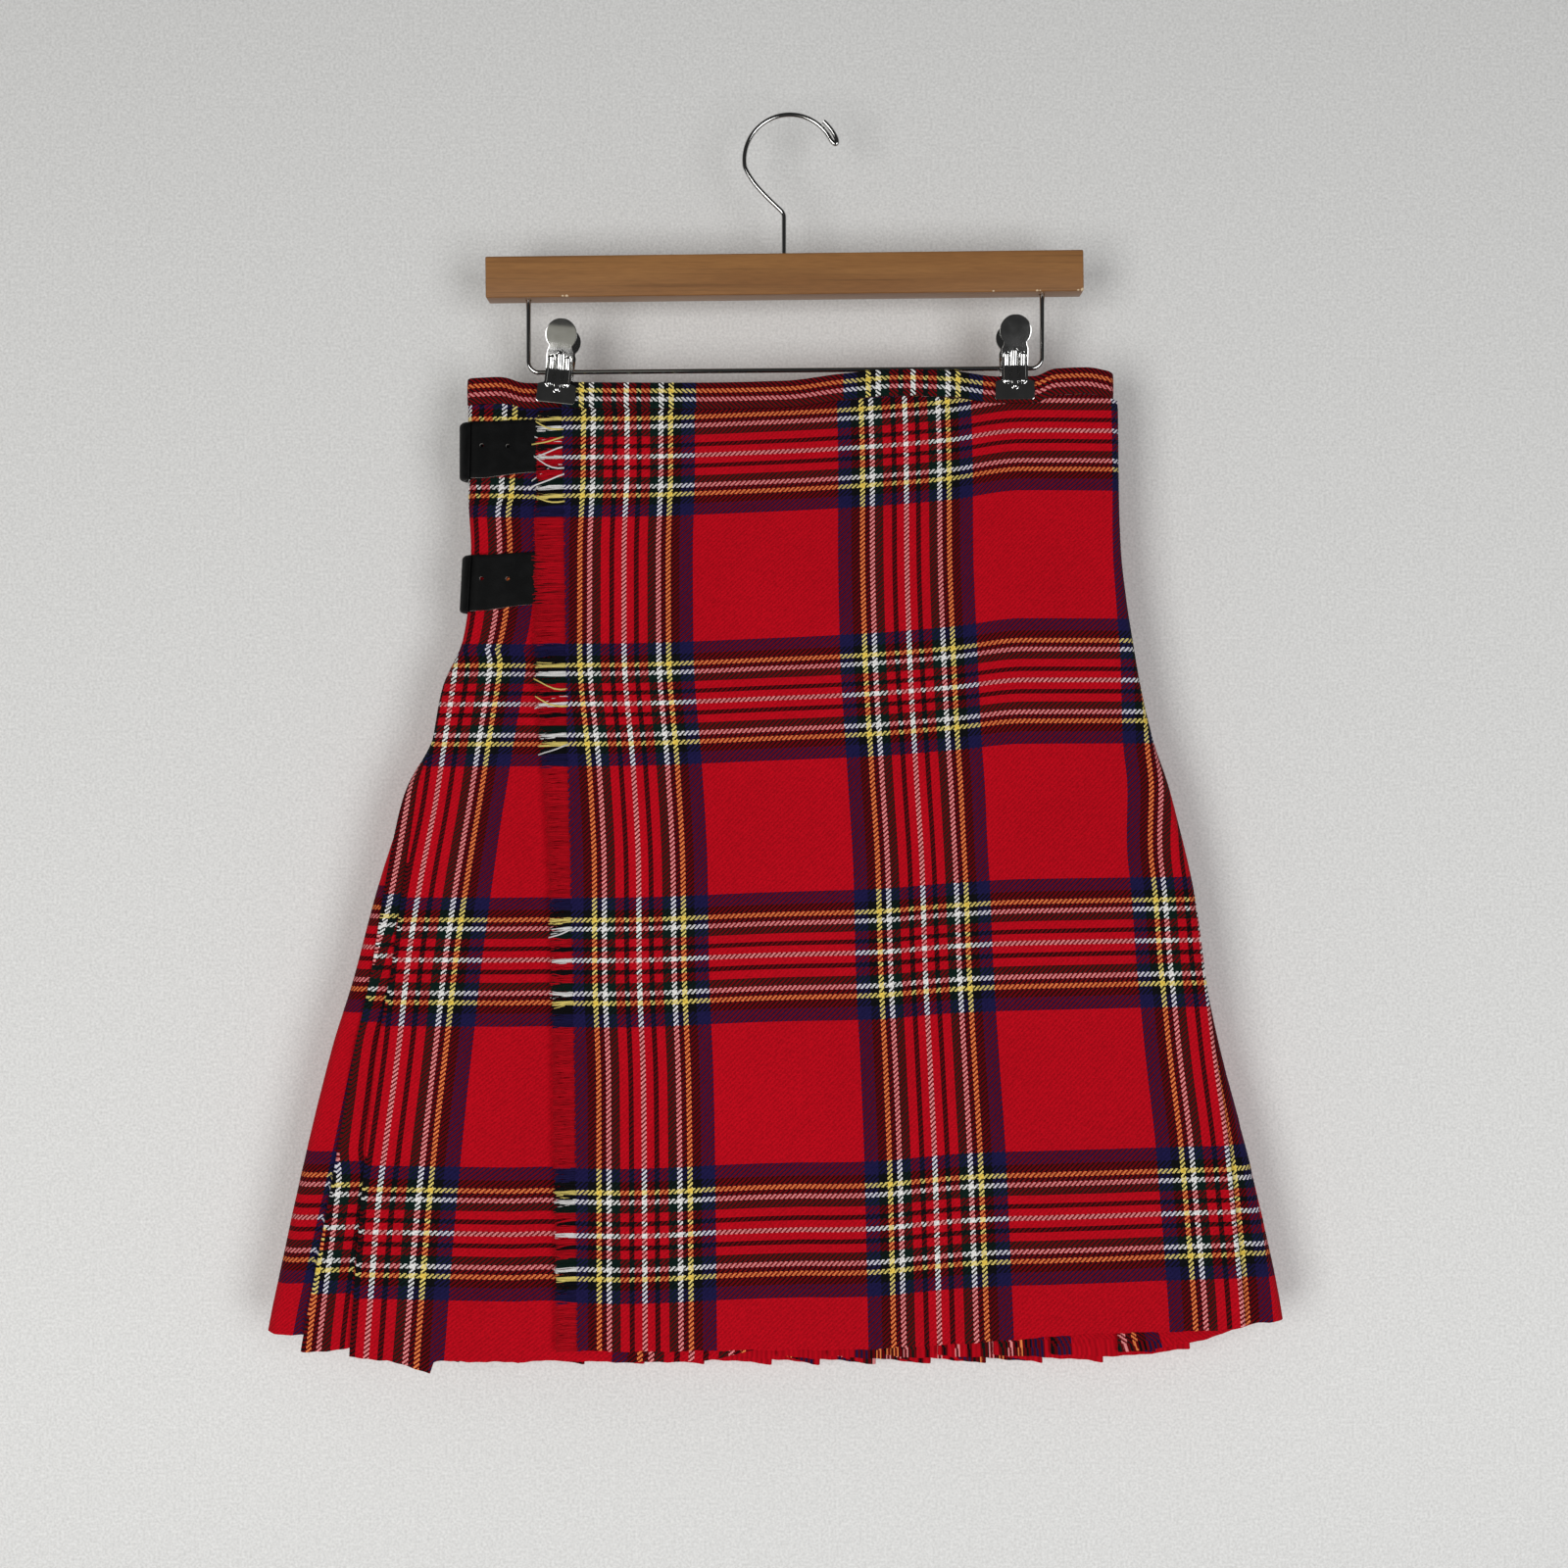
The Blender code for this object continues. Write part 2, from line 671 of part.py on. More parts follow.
def cloth_points(path, hem):
    """Outer and inner points of a cloth wall, row by row.

    The hem is a function of the share of the way from the right end to the left one, and of X.
    """
    outer_rows = []
    inner_rows = []
    for row in ROWS:
        envelope = Envelope(row)
        steps = path(envelope)
        line = [envelope.place(distance, depth) for distance, depth, _ in steps]
        outer = offset_line(line, -CLOTH / 2)
        inner = offset_line(line, CLOTH / 2)
        outer_row = []
        inner_row = []
        for (distance, _, lift), middle, out_point, in_point in zip(steps, line, outer, inner):
            top = waist_height(*middle) - BAND_HEIGHT - SEAM
            bottom = hem(distance / envelope.left_end, middle[0]) + lift
            z = cloth_height(row, top, bottom)
            outer_row.append(Vector((out_point[0], out_point[1], z)))
            inner_row.append(Vector((in_point[0], in_point[1], z)))
        outer_rows.append(outer_row)
        inner_rows.append(inner_row)
    return outer_rows, inner_rows


def walled_grid(outer_rows, inner_rows):
    """A grid laid on the outer points and extruded to the inner ones."""
    row_count = len(outer_rows)
    column_count = len(outer_rows[0])
    shape = bmesh.new()
    bmesh.ops.create_grid(
        shape, x_segments=column_count - 1, y_segments=row_count - 1, size=1.0
    )
    number = shape.verts.layers.int.new("number")
    for vert in shape.verts:
        place = round((vert.co.x + 1.0) / 2.0 * (column_count - 1))
        row = round((vert.co.y + 1.0) / 2.0 * (row_count - 1))
        vert[number] = row * column_count + place
        vert.co = outer_rows[row][place]
    extruded = bmesh.ops.extrude_face_region(shape, geom=shape.faces[:], use_keep_orig=True)
    for item in extruded["geom"]:
        if isinstance(item, bmesh.types.BMVert):
            row, place = divmod(item[number], column_count)
            item.co = inner_rows[row][place]
    bmesh.ops.recalc_face_normals(shape, faces=shape.faces)
    return shape


def link(name, data, finish):
    item = bpy.data.objects.new(name, data)
    bpy.context.scene.collection.objects.link(item)
    item.data.materials.append(MATERIALS[finish])
    return item


def solid(name, shape, finish, smooth_angle=40.0):
    """Turn a bmesh into a named object."""
    mesh = bpy.data.meshes.new(name)
    shape.to_mesh(mesh)
    shape.free()
    mesh.shade_smooth()
    mesh.set_sharp_from_angle(angle=math.radians(smooth_angle))
    return link(name, mesh, finish)


def wire(name, route, radius, finish, closed=False):
    """A wire of eight sides along a route of points."""
    curve = bpy.data.curves.new(name, "CURVE")
    curve.dimensions = "3D"
    curve.bevel_depth = radius
    curve.bevel_resolution = 2
    curve.resolution_u = 1
    curve.render_resolution_u = 0
    curve.use_fill_caps = True
    spline = curve.splines.new("POLY")
    spline.points.add(len(route) - 1)
    for point, place in zip(spline.points, route):
        point.co = (*place, 1.0)
    spline.use_cyclic_u = closed
    spline.use_smooth = True
    return link(name, curve, finish)


def cutter(shape):
    """A hidden object that cuts another one."""
    mesh = bpy.data.meshes.new("cutter")
    shape.to_mesh(mesh)
    shape.free()
    item = bpy.data.objects.new("cutter", mesh)
    bpy.context.scene.collection.objects.link(item)
    item.hide_render = True
    item.display_type = "WIRE"
    return item


def combine(target, tool_object, operation):
    boolean = target.modifiers.new(operation.title(), "BOOLEAN")
    boolean.operation = operation
    boolean.solver = "EXACT"
    boolean.object = tool_object


def cylinder_cutter(start, end, radius, sides=12, stretch=1.0):
    """A cutting cylinder between two points, wider along X by the stretch."""
    start = Vector(start)
    end = Vector(end)
    shape = bmesh.new()
    bmesh.ops.create_cone(
        shape, cap_ends=True, segments=sides, radius1=radius, radius2=radius,
        depth=(end - start).length,
    )
    turn = (end - start).to_track_quat("Z", "Y").to_matrix().to_4x4()
    bmesh.ops.transform(shape, matrix=turn, verts=shape.verts)
    bmesh.ops.transform(shape, matrix=Matrix.Diagonal((stretch, 1.0, 1.0, 1.0)), verts=shape.verts)
    bmesh.ops.translate(shape, vec=(start + end) / 2, verts=shape.verts)
    return cutter(shape)


def build_cloth():
    outer, inner = cloth_points(outer_apron_path, apron_hem)
    solid("outer_apron", walled_grid(outer, inner), "tartan")

    outer, inner = cloth_points(under_apron_path, under_hem)
    solid("under_apron", walled_grid(outer, inner), "tartan")

    last = len(PLEAT_EDGES)
    runs = (("pleats_right", 0, 4), ("pleats_back", 4, 12), ("pleats_left", 12, last))
    for name, first_edge, last_edge in runs:
        def path(envelope, first=first_edge, end=last_edge):
            return pleat_run(envelope, first, end)
        outer, inner = cloth_points(path, pleat_hem)
        solid(name, walled_grid(outer, inner), "pleats")


def band_line():
    """Plan of the waistband: front, right end, back, left end, and in below the front."""
    left = OUTLINE[0][1] * MM + BAND_WALL / 2
    right = OUTLINE[0][2] * MM - BAND_WALL / 2
    start = column(APRON_PLACES, 0.0, 2) * MM
    apron_start = start + STRIP_WIDTH + GAP
    line = [(start, -BAND_DEPTH)]
    line += [(x, -BAND_DEPTH) for x in np.linspace(apron_start, right - BAND_DEPTH, APRON_STEPS + 1)]
    for angle in np.radians(BAND_END_ANGLES):
        line.append((
            right - BAND_DEPTH + BAND_DEPTH * math.cos(angle),
            BAND_DEPTH * math.sin(angle),
        ))
    line += [(x, BAND_DEPTH) for x in np.linspace(right - BAND_DEPTH, left + BAND_DEPTH, BAND_BACK_STEPS)]
    for angle in np.radians(BAND_END_ANGLES):
        line.append((
            left + BAND_DEPTH - BAND_DEPTH * math.cos(angle),
            -BAND_DEPTH * math.sin(angle),
        ))
    ramp_start = start - UNDER_RAMP_START
    ramp_end = start - UNDER_RAMP_END
    line += [(x, -BAND_DEPTH) for x in np.linspace(left + BAND_DEPTH, ramp_start, BAND_FRONT_STEPS)]
    for share in UNDER_RAMP_SHARES[1:]:
        depth = BAND_DEPTH + (BAND_UNDER_DEPTH - BAND_DEPTH) * smooth_step(share, 0.0, 1.0)
        line.append((ramp_start + (ramp_end - ramp_start) * share, -depth))
    hidden_edge = column(APRON_PLACES, 0.0, 3) * MM
    line += [(x, -BAND_UNDER_DEPTH) for x in np.linspace(ramp_end, hidden_edge, BAND_UNDER_STEPS)]
    return line


def build_waistband():
    line = band_line()
    outer_line = offset_line(line, -BAND_WALL / 2)
    inner_line = offset_line(line, BAND_WALL / 2)
    outer_rows = []
    inner_rows = []
    for drop in (0.0, BAND_HEIGHT):
        outer_rows.append([
            Vector((*point, waist_height(*middle) - drop))
            for point, middle in zip(outer_line, line)
        ])
        inner_rows.append([
            Vector((*point, waist_height(*middle) - drop))
            for point, middle in zip(inner_line, line)
        ])
    solid("waistband", walled_grid(outer_rows, inner_rows), "tartan")


def strip_point(row, inset, depth):
    """A point of the fringe's backing, at a distance from the root line and a depth."""
    envelope = Envelope(row)
    root = column(APRON_PLACES, row, 2) * MM
    distance = envelope.front_distance(root + inset)
    x, y = envelope.place(distance, depth)
    top = waist_height(x, y) - BAND_HEIGHT - SEAM
    bottom = apron_hem(distance / envelope.left_end, x)
    return Vector((x, y, cloth_height(row, top, bottom)))


def build_fringe():
    """A narrow strip along the apron's edge, with a strand drawn out of every other facet."""
    rows = [0.0]
    for strand in range(STRANDS):
        rows.append((strand + (1.0 - STRAND_SHARE)) / STRANDS)
        rows.append((strand + 1.0) / STRANDS)
    shape = bmesh.new()
    front_edge = [shape.verts.new(strip_point(row, 0.0, -CLOTH / 2)) for row in rows]
    back_edge = [shape.verts.new(strip_point(row, 0.0, CLOTH / 2)) for row in rows]
    front_side = [shape.verts.new(strip_point(row, STRIP_WIDTH, -CLOTH / 2)) for row in ROWS]
    back_side = [shape.verts.new(strip_point(row, STRIP_WIDTH, CLOTH / 2)) for row in ROWS]
    strand_faces = []
    for index in range(len(rows) - 1):
        facet = shape.faces.new((
            front_edge[index], front_edge[index + 1], back_edge[index + 1], back_edge[index],
        ))
        if index % 2 == 1:
            strand_faces.append(facet)
    for near_edge, far_edge in ((front_edge, front_side), (back_edge, back_side)):
        fill_between(shape, near_edge, rows, far_edge, ROWS)
    for index in range(len(ROWS) - 1):
        shape.faces.new((
            front_side[index], front_side[index + 1], back_side[index + 1], back_side[index],
        ))
    for end in (0, -1):
        shape.faces.new((front_edge[end], front_side[end], back_side[end], back_edge[end]))
    bmesh.ops.recalc_face_normals(shape, faces=shape.faces)
    drawn = bmesh.ops.extrude_discrete_faces(shape, faces=strand_faces)
    for index, facet in enumerate(drawn["faces"]):
        centre = facet.calc_center_median()
        length = height_column(FRINGE_LENGTHS, centre.z, 1) * MM * strand_share(index)
        for vert in facet.verts:
            vert.co = centre + (vert.co - centre) * STRAND_TAPER
            vert.co += Vector((-length, -STRAND_LIFT, -strand_droop(index)))
    bmesh.ops.recalc_face_normals(shape, faces=shape.faces)
    solid("apron_fringe", shape, "fringe")


def strand_share(index):
    """Uneven length of a strand, as a share of the usual one."""
    return 1.0 + 0.12 * math.sin(2.3 * index) + 0.08 * math.sin(5.1 * index + 1.0)


def strand_droop(index):
    """Uneven drop of a strand's tip."""
    return (0.35 + 0.3 * math.sin(0.9 * index)) * MM


def fill_between(shape, near_edge, near_rows, far_edge, far_rows):
    """Bridge a finely divided edge and a coarse one with one fan for each coarse step."""
    for index in range(len(far_rows) - 1):
        first = int(np.argmin([abs(row - far_rows[index]) for row in near_rows]))
        last = int(np.argmin([abs(row - far_rows[index + 1]) for row in near_rows]))
        middle = (first + last) // 2
        near_first = near_edge[first:middle + 1]
        near_last = near_edge[middle:last + 1]
        for place in range(len(near_first) - 1):
            shape.faces.new((near_first[place], near_first[place + 1], far_edge[index]))
        for place in range(len(near_last) - 1):
            shape.faces.new((near_last[place], near_last[place + 1], far_edge[index + 1]))
        shape.faces.new((near_edge[middle], far_edge[index + 1], far_edge[index]))


def strap_depth(envelope, distance):
    """Depth of the strap's middle: on the cloth, below the apron, or out over the buckle."""
    x, y = envelope.on_loop(distance)
    seat = CLOTH / 2 + GAP + LEATHER / 2
    if y < 0.0 and distance > envelope.left_end:
        root = column(APRON_PLACES, envelope.row, 2) * MM
        share = smooth_step(x, root - UNDER_RAMP_START, root - UNDER_RAMP_END)
        depth = UNDER_APRON_DEPTH * share - seat
    else:
        depth = -seat
    off_end = abs(distance - envelope.left_end)
    keeper = 1.0 - smooth_step(
        off_end, KEEPER_STATIONS[0] * KEEPER_REACH, KEEPER_LEAD * KEEPER_REACH
    )
    depth -= (KEEPER_CLEARANCE + KEEPER_WALL + GAP) * keeper
    if y > 0.0 and distance < envelope.left_end:
        climb = smooth_step(x, FRONT_BAR_X + CLIMB_START, HEEL_BAR_X - CLIMB_END)
        fall = smooth_step(x, HEEL_BAR_X + FALL_START, HEEL_BAR_X + FALL_END)
        loop_top = heel_height() + BUCKLE_WIRE + GAP + CHAPE_WALL
        heel_rise = loop_top + LOOP_CLEARANCE + LEATHER / 2 - seat
        tail_rise = CHAPE_WALL + GAP
        depth -= climb * (1.0 - fall) * heel_rise + climb * fall * tail_rise
    return depth


def heel_height():
    """Height of the heel bar's middle above the cloth's middle."""
    return CLOTH / 2 + GAP + CHAPE_WALL + GAP + BUCKLE_WIRE


def build_straps():
    for name, top, bottom in STRAPS:
        middle = (top + bottom) / 2 * MM
        outer_rows = []
        inner_rows = []
        for z in (top * MM, middle, bottom * MM):
            envelope = Envelope(row_of_height(z))
            line = [
                envelope.place(distance, strap_depth(envelope, distance))
                for distance in strap_distances(envelope)
            ]
            outer = offset_line(line, LEATHER / 2)
            inner = offset_line(line, -LEATHER / 2)
            outer_rows.append([Vector((*point, z)) for point in outer])
            inner_rows.append([Vector((*point, z)) for point in inner])
        strap = solid("strap_" + name, walled_grid(outer_rows, inner_rows), "leather")
        for x in STRAP_HOLES_X:
            hole = cylinder_cutter((x, -CUT_END, middle), (x, -CUT_START, middle), STRAP_HOLE_RADIUS)
            combine(strap, hole, "DIFFERENCE")
        slot_x = (FRONT_BAR_X + HEEL_BAR_X) / 2 + SLOT_OFFSET
        slot = cylinder_cutter(
            (slot_x, CUT_START, middle), (slot_x, CUT_END, middle), STRAP_HOLE_RADIUS,
            stretch=SLOT_STRETCH,
        )
        combine(strap, slot, "DIFFERENCE")
        build_keeper(name, top * MM, bottom * MM)
        build_buckle(name, top * MM, bottom * MM)


def strap_distances(envelope):
    """Distances of the strap's stations, closest where it turns and climbs."""
    start = envelope.front_distance(STRAP_START_X)
    flat_end = envelope.front_distance(STRAP_FLAT_END * MM)
    stations = list(np.linspace(start, flat_end, STRAP_FLAT_STEPS))
    stations.append(envelope.front_distance(STRAP_LAST_FRONT * MM))
    stations += [envelope.left_end + share * KEEPER_REACH for share in KEEPER_STATIONS]
    stations += [envelope.back_distance(x * MM) for x in STRAP_BACK_STATIONS]
    stations.append(envelope.back_distance(STRAP_TIP_X))
    return stations


def build_keeper(name, top, bottom):
    """A leather loop round the strap at the left end."""
    inner_depth = CLOTH / 2 + GAP + KEEPER_CLEARANCE
    strap_room = inner_depth + KEEPER_WALL
    strap_end = strap_room + GAP + LEATHER + GAP
    outer_depth = strap_end + KEEPER_WALL
    shape = bmesh.new()
    rings = []
    for share in KEEPER_STATIONS[1:-1]:
        ring = []
        for z, side in ((top, 1.0), (bottom, -1.0)):
            envelope = Envelope(row_of_height(z))
            distance = envelope.left_end + share * KEEPER_REACH
            hole_z = z + side * GAP
            wall_z = hole_z + side * KEEPER_WALL
            ring.append(Vector((*envelope.place(distance, -outer_depth), wall_z)))
            ring.append(Vector((*envelope.place(distance, -inner_depth), wall_z)))
            ring.append(Vector((*envelope.place(distance, -strap_end), hole_z)))
            ring.append(Vector((*envelope.place(distance, -strap_room), hole_z)))
        rings.append([shape.verts.new(point) for point in ring])
    outer_ring = (0, 1, 5, 4)
    inner_ring = (2, 3, 7, 6)
    for near, far in zip(rings, rings[1:]):
        for order in (outer_ring, inner_ring):
            for place in range(4):
                a = order[place]
                b = order[(place + 1) % 4]
                shape.faces.new((near[a], near[b], far[b], far[a]))
    for ring in (rings[0], rings[-1]):
        for place in range(4):
            a = outer_ring[place]
            b = outer_ring[(place + 1) % 4]
            c = inner_ring[(place + 1) % 4]
            d = inner_ring[place]
            shape.faces.new((ring[a], ring[b], ring[c], ring[d]))
    bmesh.ops.recalc_face_normals(shape, faces=shape.faces)
    solid("keeper_" + name, shape, "leather")


def back_point(x, z, height):
    """A point on the back, at a height above the middle of the outer cloth."""
    envelope = Envelope(row_of_height(z))
    return Vector((*envelope.place(envelope.back_distance(x), -height), z))


def build_buckle(name, top, bottom):
    """Chape, frame and prong on the back, fastened round the strap."""
    middle = (top + bottom) / 2
    build_frame(name, top + BUCKLE_MARGIN, bottom - BUCKLE_MARGIN)
    build_chape(name, top - CHAPE_INSET, bottom + CHAPE_INSET)
    heel = heel_height()
    rest = front_bar_height() + BUCKLE_WIRE + GAP + PRONG_RADIUS
    route = [back_point(HEEL_BAR_X + x * MM, middle, heel + rise * MM) for x, rise in PRONG_START]
    route += [back_point(FRONT_BAR_X + x * MM, middle, rest + rise * MM) for x, rise in PRONG_TIP]
    wire("prong_" + name, route, PRONG_RADIUS, "chrome")


def front_bar_height():
    """Height of the buckle's front bar's middle above the cloth's middle."""
    return CLOTH / 2 + GAP + LEATHER + GAP + BUCKLE_WIRE


def build_frame(name, top, bottom):
    """The buckle's frame: a closed wire with cut corners."""
    heel = heel_height()
    front = front_bar_height()
    corner = BUCKLE_CORNER
    route = [
        back_point(FRONT_BAR_X, bottom + corner, front),
        back_point(FRONT_BAR_X, top - corner, front),
        back_point(FRONT_BAR_X + corner, top, front),
        back_point(HEEL_BAR_X - corner, top, heel),
        back_point(HEEL_BAR_X, top - corner, heel),
        back_point(HEEL_BAR_X, bottom + corner, heel),
        back_point(HEEL_BAR_X - corner, bottom, heel),
        back_point(FRONT_BAR_X + corner, bottom, front),
    ]
    wire("buckle_" + name, route, BUCKLE_WIRE, "chrome", closed=True)


def build_chape(name, top, bottom):
    """The leather tab on the pleats, looped round the heel bar."""
    seat = CLOTH / 2 + GAP + CHAPE_WALL / 2
    radius = BUCKLE_WIRE + GAP + CHAPE_WALL / 2
    places = [(x * MM, seat) for x in CHAPE_TAB_X]
    for angle in np.radians(CHAPE_LOOP_ANGLES):
        x = HEEL_BAR_X + radius * math.cos(angle)
        places.append((x, heel_height() - radius * math.sin(angle)))
    outer_rows = []
    inner_rows = []
    for z in (top, bottom):
        line = [back_point(x, z, height).xy for x, height in places]
        outer = offset_line(line, CHAPE_WALL / 2)
        inner = offset_line(line, -CHAPE_WALL / 2)
        outer_rows.append([Vector((*point, z)) for point in outer])
        inner_rows.append([Vector((*point, z)) for point in inner])
    solid("chape_" + name, walled_grid(outer_rows, inner_rows), "leather")


def build_bar():
    shape = bmesh.new()
    bmesh.ops.create_cube(shape, size=1.0)
    bmesh.ops.scale(shape, vec=(BAR_LENGTH, BAR_THICKNESS, BAR_HEIGHT), verts=shape.verts)
    bmesh.ops.bevel(shape, geom=shape.edges[:], offset=BAR_BEVEL, segments=1, affect="EDGES")
    bmesh.ops.rotate(
        shape, cent=(0, 0, 0), matrix=Matrix.Rotation(-BAR_TILT, 3, "Y"), verts=shape.verts
    )
    bmesh.ops.translate(shape, vec=BAR_CENTRE, verts=shape.verts)
    bar = solid("hanger_bar", shape, "wood", smooth_angle=30.0)
    top = bar_surface(HOOK_STEM_X, 1)
    radius = WIRE + HOLE_CLEARANCE
    hook_hole = cylinder_cutter(
        (HOOK_STEM_X, 0, top - HOOK_SINK - HOLE_CLEARANCE), (HOOK_STEM_X, 0, top + HOOK_SINK), radius
    )
    combine(bar, hook_hole, "DIFFERENCE")
    for end in (ROD_LEFT, ROD_RIGHT):
        bottom = bar_surface(end.x, -1)
        hole = cylinder_cutter(
            (end.x, 0, bottom - ROD_SINK), (end.x, 0, bottom + ROD_SINK + HOLE_CLEARANCE), radius
        )
        combine(bar, hole, "DIFFERENCE")


def bar_surface(x, side):
    """Height of the bar's top (side 1) or underside (side -1) at X."""
    slope = math.tan(BAR_TILT)
    return BAR_CENTRE.z + (x - BAR_CENTRE.x) * slope + side * BAR_HEIGHT / 2 / math.cos(BAR_TILT)


def build_hook():
    """Stem, bend, straight run to the arc, and a tip folded back along the outside."""
    top = bar_surface(HOOK_STEM_X, 1)
    route = [Vector((HOOK_STEM_X, 0, top - HOOK_SINK))]
    route += [Vector((x, 0, z)) * MM for x, z in HOOK_STEM]
    arc = [(angle, 0.0) for angle in np.linspace(*HOOK_ARC_ANGLES, HOOK_ARC_STEPS)]
    for angle, outside in arc + list(HOOK_TIP):
        turn = math.radians(angle)
        distance = HOOK_ARC_RADIUS + WIRE + outside * WIRE
        route.append(HOOK_ARC_CENTRE + distance * Vector((math.cos(turn), 0, math.sin(turn))))
    wire("hanger_hook", route, WIRE, "chrome")


def build_rod():
    """A wire with a leg in each end of the bar's underside and a rounded corner below each leg."""
    slope = (ROD_RIGHT.z - ROD_LEFT.z) / (ROD_RIGHT.x - ROD_LEFT.x)
    route = [Vector((ROD_LEFT.x, 0, bar_surface(ROD_LEFT.x, -1) + ROD_SINK))]
    route.append(Vector((ROD_LEFT.x, 0, ROD_LEFT.z + ROD_BEND)))
    for angle in np.radians(ROD_BEND_ANGLES):
        centre = ROD_LEFT + Vector((ROD_BEND, 0, ROD_BEND))
        route.append(centre - ROD_BEND * Vector((math.cos(angle), 0, math.sin(angle))))
    route.append(ROD_LEFT + Vector((ROD_BEND, 0, slope * ROD_BEND)))
    route.append(ROD_RIGHT + Vector((-ROD_BEND, 0, -slope * ROD_BEND)))
    for angle in np.radians(ROD_BEND_ANGLES):
        centre = ROD_RIGHT + Vector((-ROD_BEND, 0, ROD_BEND))
        route.append(centre + ROD_BEND * Vector((math.sin(angle), 0, -math.cos(angle))))
    route.append(Vector((ROD_RIGHT.x, 0, ROD_RIGHT.z + ROD_BEND)))
    route.append(Vector((ROD_RIGHT.x, 0, bar_surface(ROD_RIGHT.x, -1) + ROD_SINK)))
    wire("clip_rod", route, WIRE, "chrome")


def rod_height(x):
    share = (x - ROD_LEFT.x) / (ROD_RIGHT.x - ROD_LEFT.x)
    return ROD_LEFT.z + (ROD_RIGHT.z - ROD_LEFT.z) * share


def build_jaw(name, pivot, lean, side):
    """A pressed plate with two ears that the rod runs through; side -1 is the front jaw."""
    place = Matrix.Translation(pivot) @ Matrix.Rotation(lean, 4, "Y")
    outer_rows = []
    inner_rows = []
    for height, half_width, reach in JAW:
        z = height * MM
        outer_y = side * (reach * MM + JAW_PLATE / 2)
        inner_y = side * (reach * MM - JAW_PLATE / 2)
        across = [share * half_width * MM for share in JAW_ACROSS]
        outer_rows.append([place @ Vector((x, outer_y, z)) for x in across])
        inner_rows.append([place @ Vector((x, inner_y, z)) for x in across])
    jaw = solid("clip_" + name, walled_grid(outer_rows, inner_rows), "chrome")
    ear_x = FRONT_EAR_X if side < 0 else BACK_EAR_X
    for ear_side in (-1.0, 1.0):
        shape = bmesh.new()
        bmesh.ops.create_cube(shape, size=1.0)
        depth = EAR_TOWARD + EAR_AWAY
        bmesh.ops.scale(shape, vec=(EAR_PLATE, depth, 2 * EAR_RADIUS), verts=shape.verts)
        centre = Vector((ear_side * ear_x, side * (EAR_TOWARD - depth / 2), 0.0))
        bmesh.ops.translate(shape, vec=centre, verts=shape.verts)
        bmesh.ops.transform(shape, matrix=place, verts=shape.verts)
        combine(jaw, cutter(shape), "UNION")
    reach = Vector((BORE_REACH, 0, 0))
    bore = cylinder_cutter(pivot - reach, pivot + reach, WIRE + HOLE_CLEARANCE)
    combine(jaw, bore, "DIFFERENCE")


def build_spring(name, pivot):
    """The coiled spring on the rod, as the turned outer shape of its coil."""
    shape = bmesh.new()
    inner = WIRE + GAP
    ring = [
        shape.verts.new((-SPRING_HALF_LENGTH, 0.0, inner)),
        shape.verts.new((-SPRING_HALF_LENGTH, 0.0, SPRING_RADIUS)),
        shape.verts.new((SPRING_HALF_LENGTH, 0.0, SPRING_RADIUS)),
        shape.verts.new((SPRING_HALF_LENGTH, 0.0, inner)),
    ]
    edges = [shape.edges.new((ring[place], ring[(place + 1) % 4])) for place in range(4)]
    bmesh.ops.spin(
        shape, geom=edges, cent=(0, 0, 0), axis=(1, 0, 0), angle=2 * math.pi, steps=SPRING_SIDES,
        use_merge=True,
    )
    bmesh.ops.remove_doubles(shape, verts=shape.verts, dist=0.00001)
    bmesh.ops.recalc_face_normals(shape, faces=shape.faces)
    bmesh.ops.translate(shape, vec=pivot, verts=shape.verts)
    solid("clip_" + name + "_spring", shape, "chrome")


def build_clips():
    for name, x, lean in CLIPS:
        pivot = Vector((x * MM, 0.0, rod_height(x * MM)))
        build_jaw(name + "_front", pivot, math.radians(-lean), -1)
        build_jaw(name + "_back", pivot, math.radians(-lean), 1)
        build_spring(name, pivot)


def make_material(name, colour, roughness, metallic):
    material = bpy.data.materials.new(name)
    material.use_nodes = True
    shader = material.node_tree.nodes["Principled BSDF"]
    shader.inputs["Base Color"].default_value = (*colour, 1.0)
    shader.inputs["Roughness"].default_value = roughness
    shader.inputs["Metallic"].default_value = metallic
    material.diffuse_color = (*colour, 1.0)
    return material


for item in list(bpy.data.objects):
    bpy.data.objects.remove(item)
MATERIALS = {name: make_material(name, *finish) for name, finish in FINISHES.items()}

build_cloth()
build_waistband()
build_fringe()
build_straps()
build_bar()
build_hook()
build_rod()
build_clips()
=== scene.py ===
# %% [markdown]
# A Scottish kilt on a clip hanger.  The kilt is one long length of tartan: a flat apron in
# front, knife pleats round the back and a second apron hidden below the first.  The packed
# model gives every piece its place, so the script starts by loading it as a fixed frame.

# %% Load the frame
import math

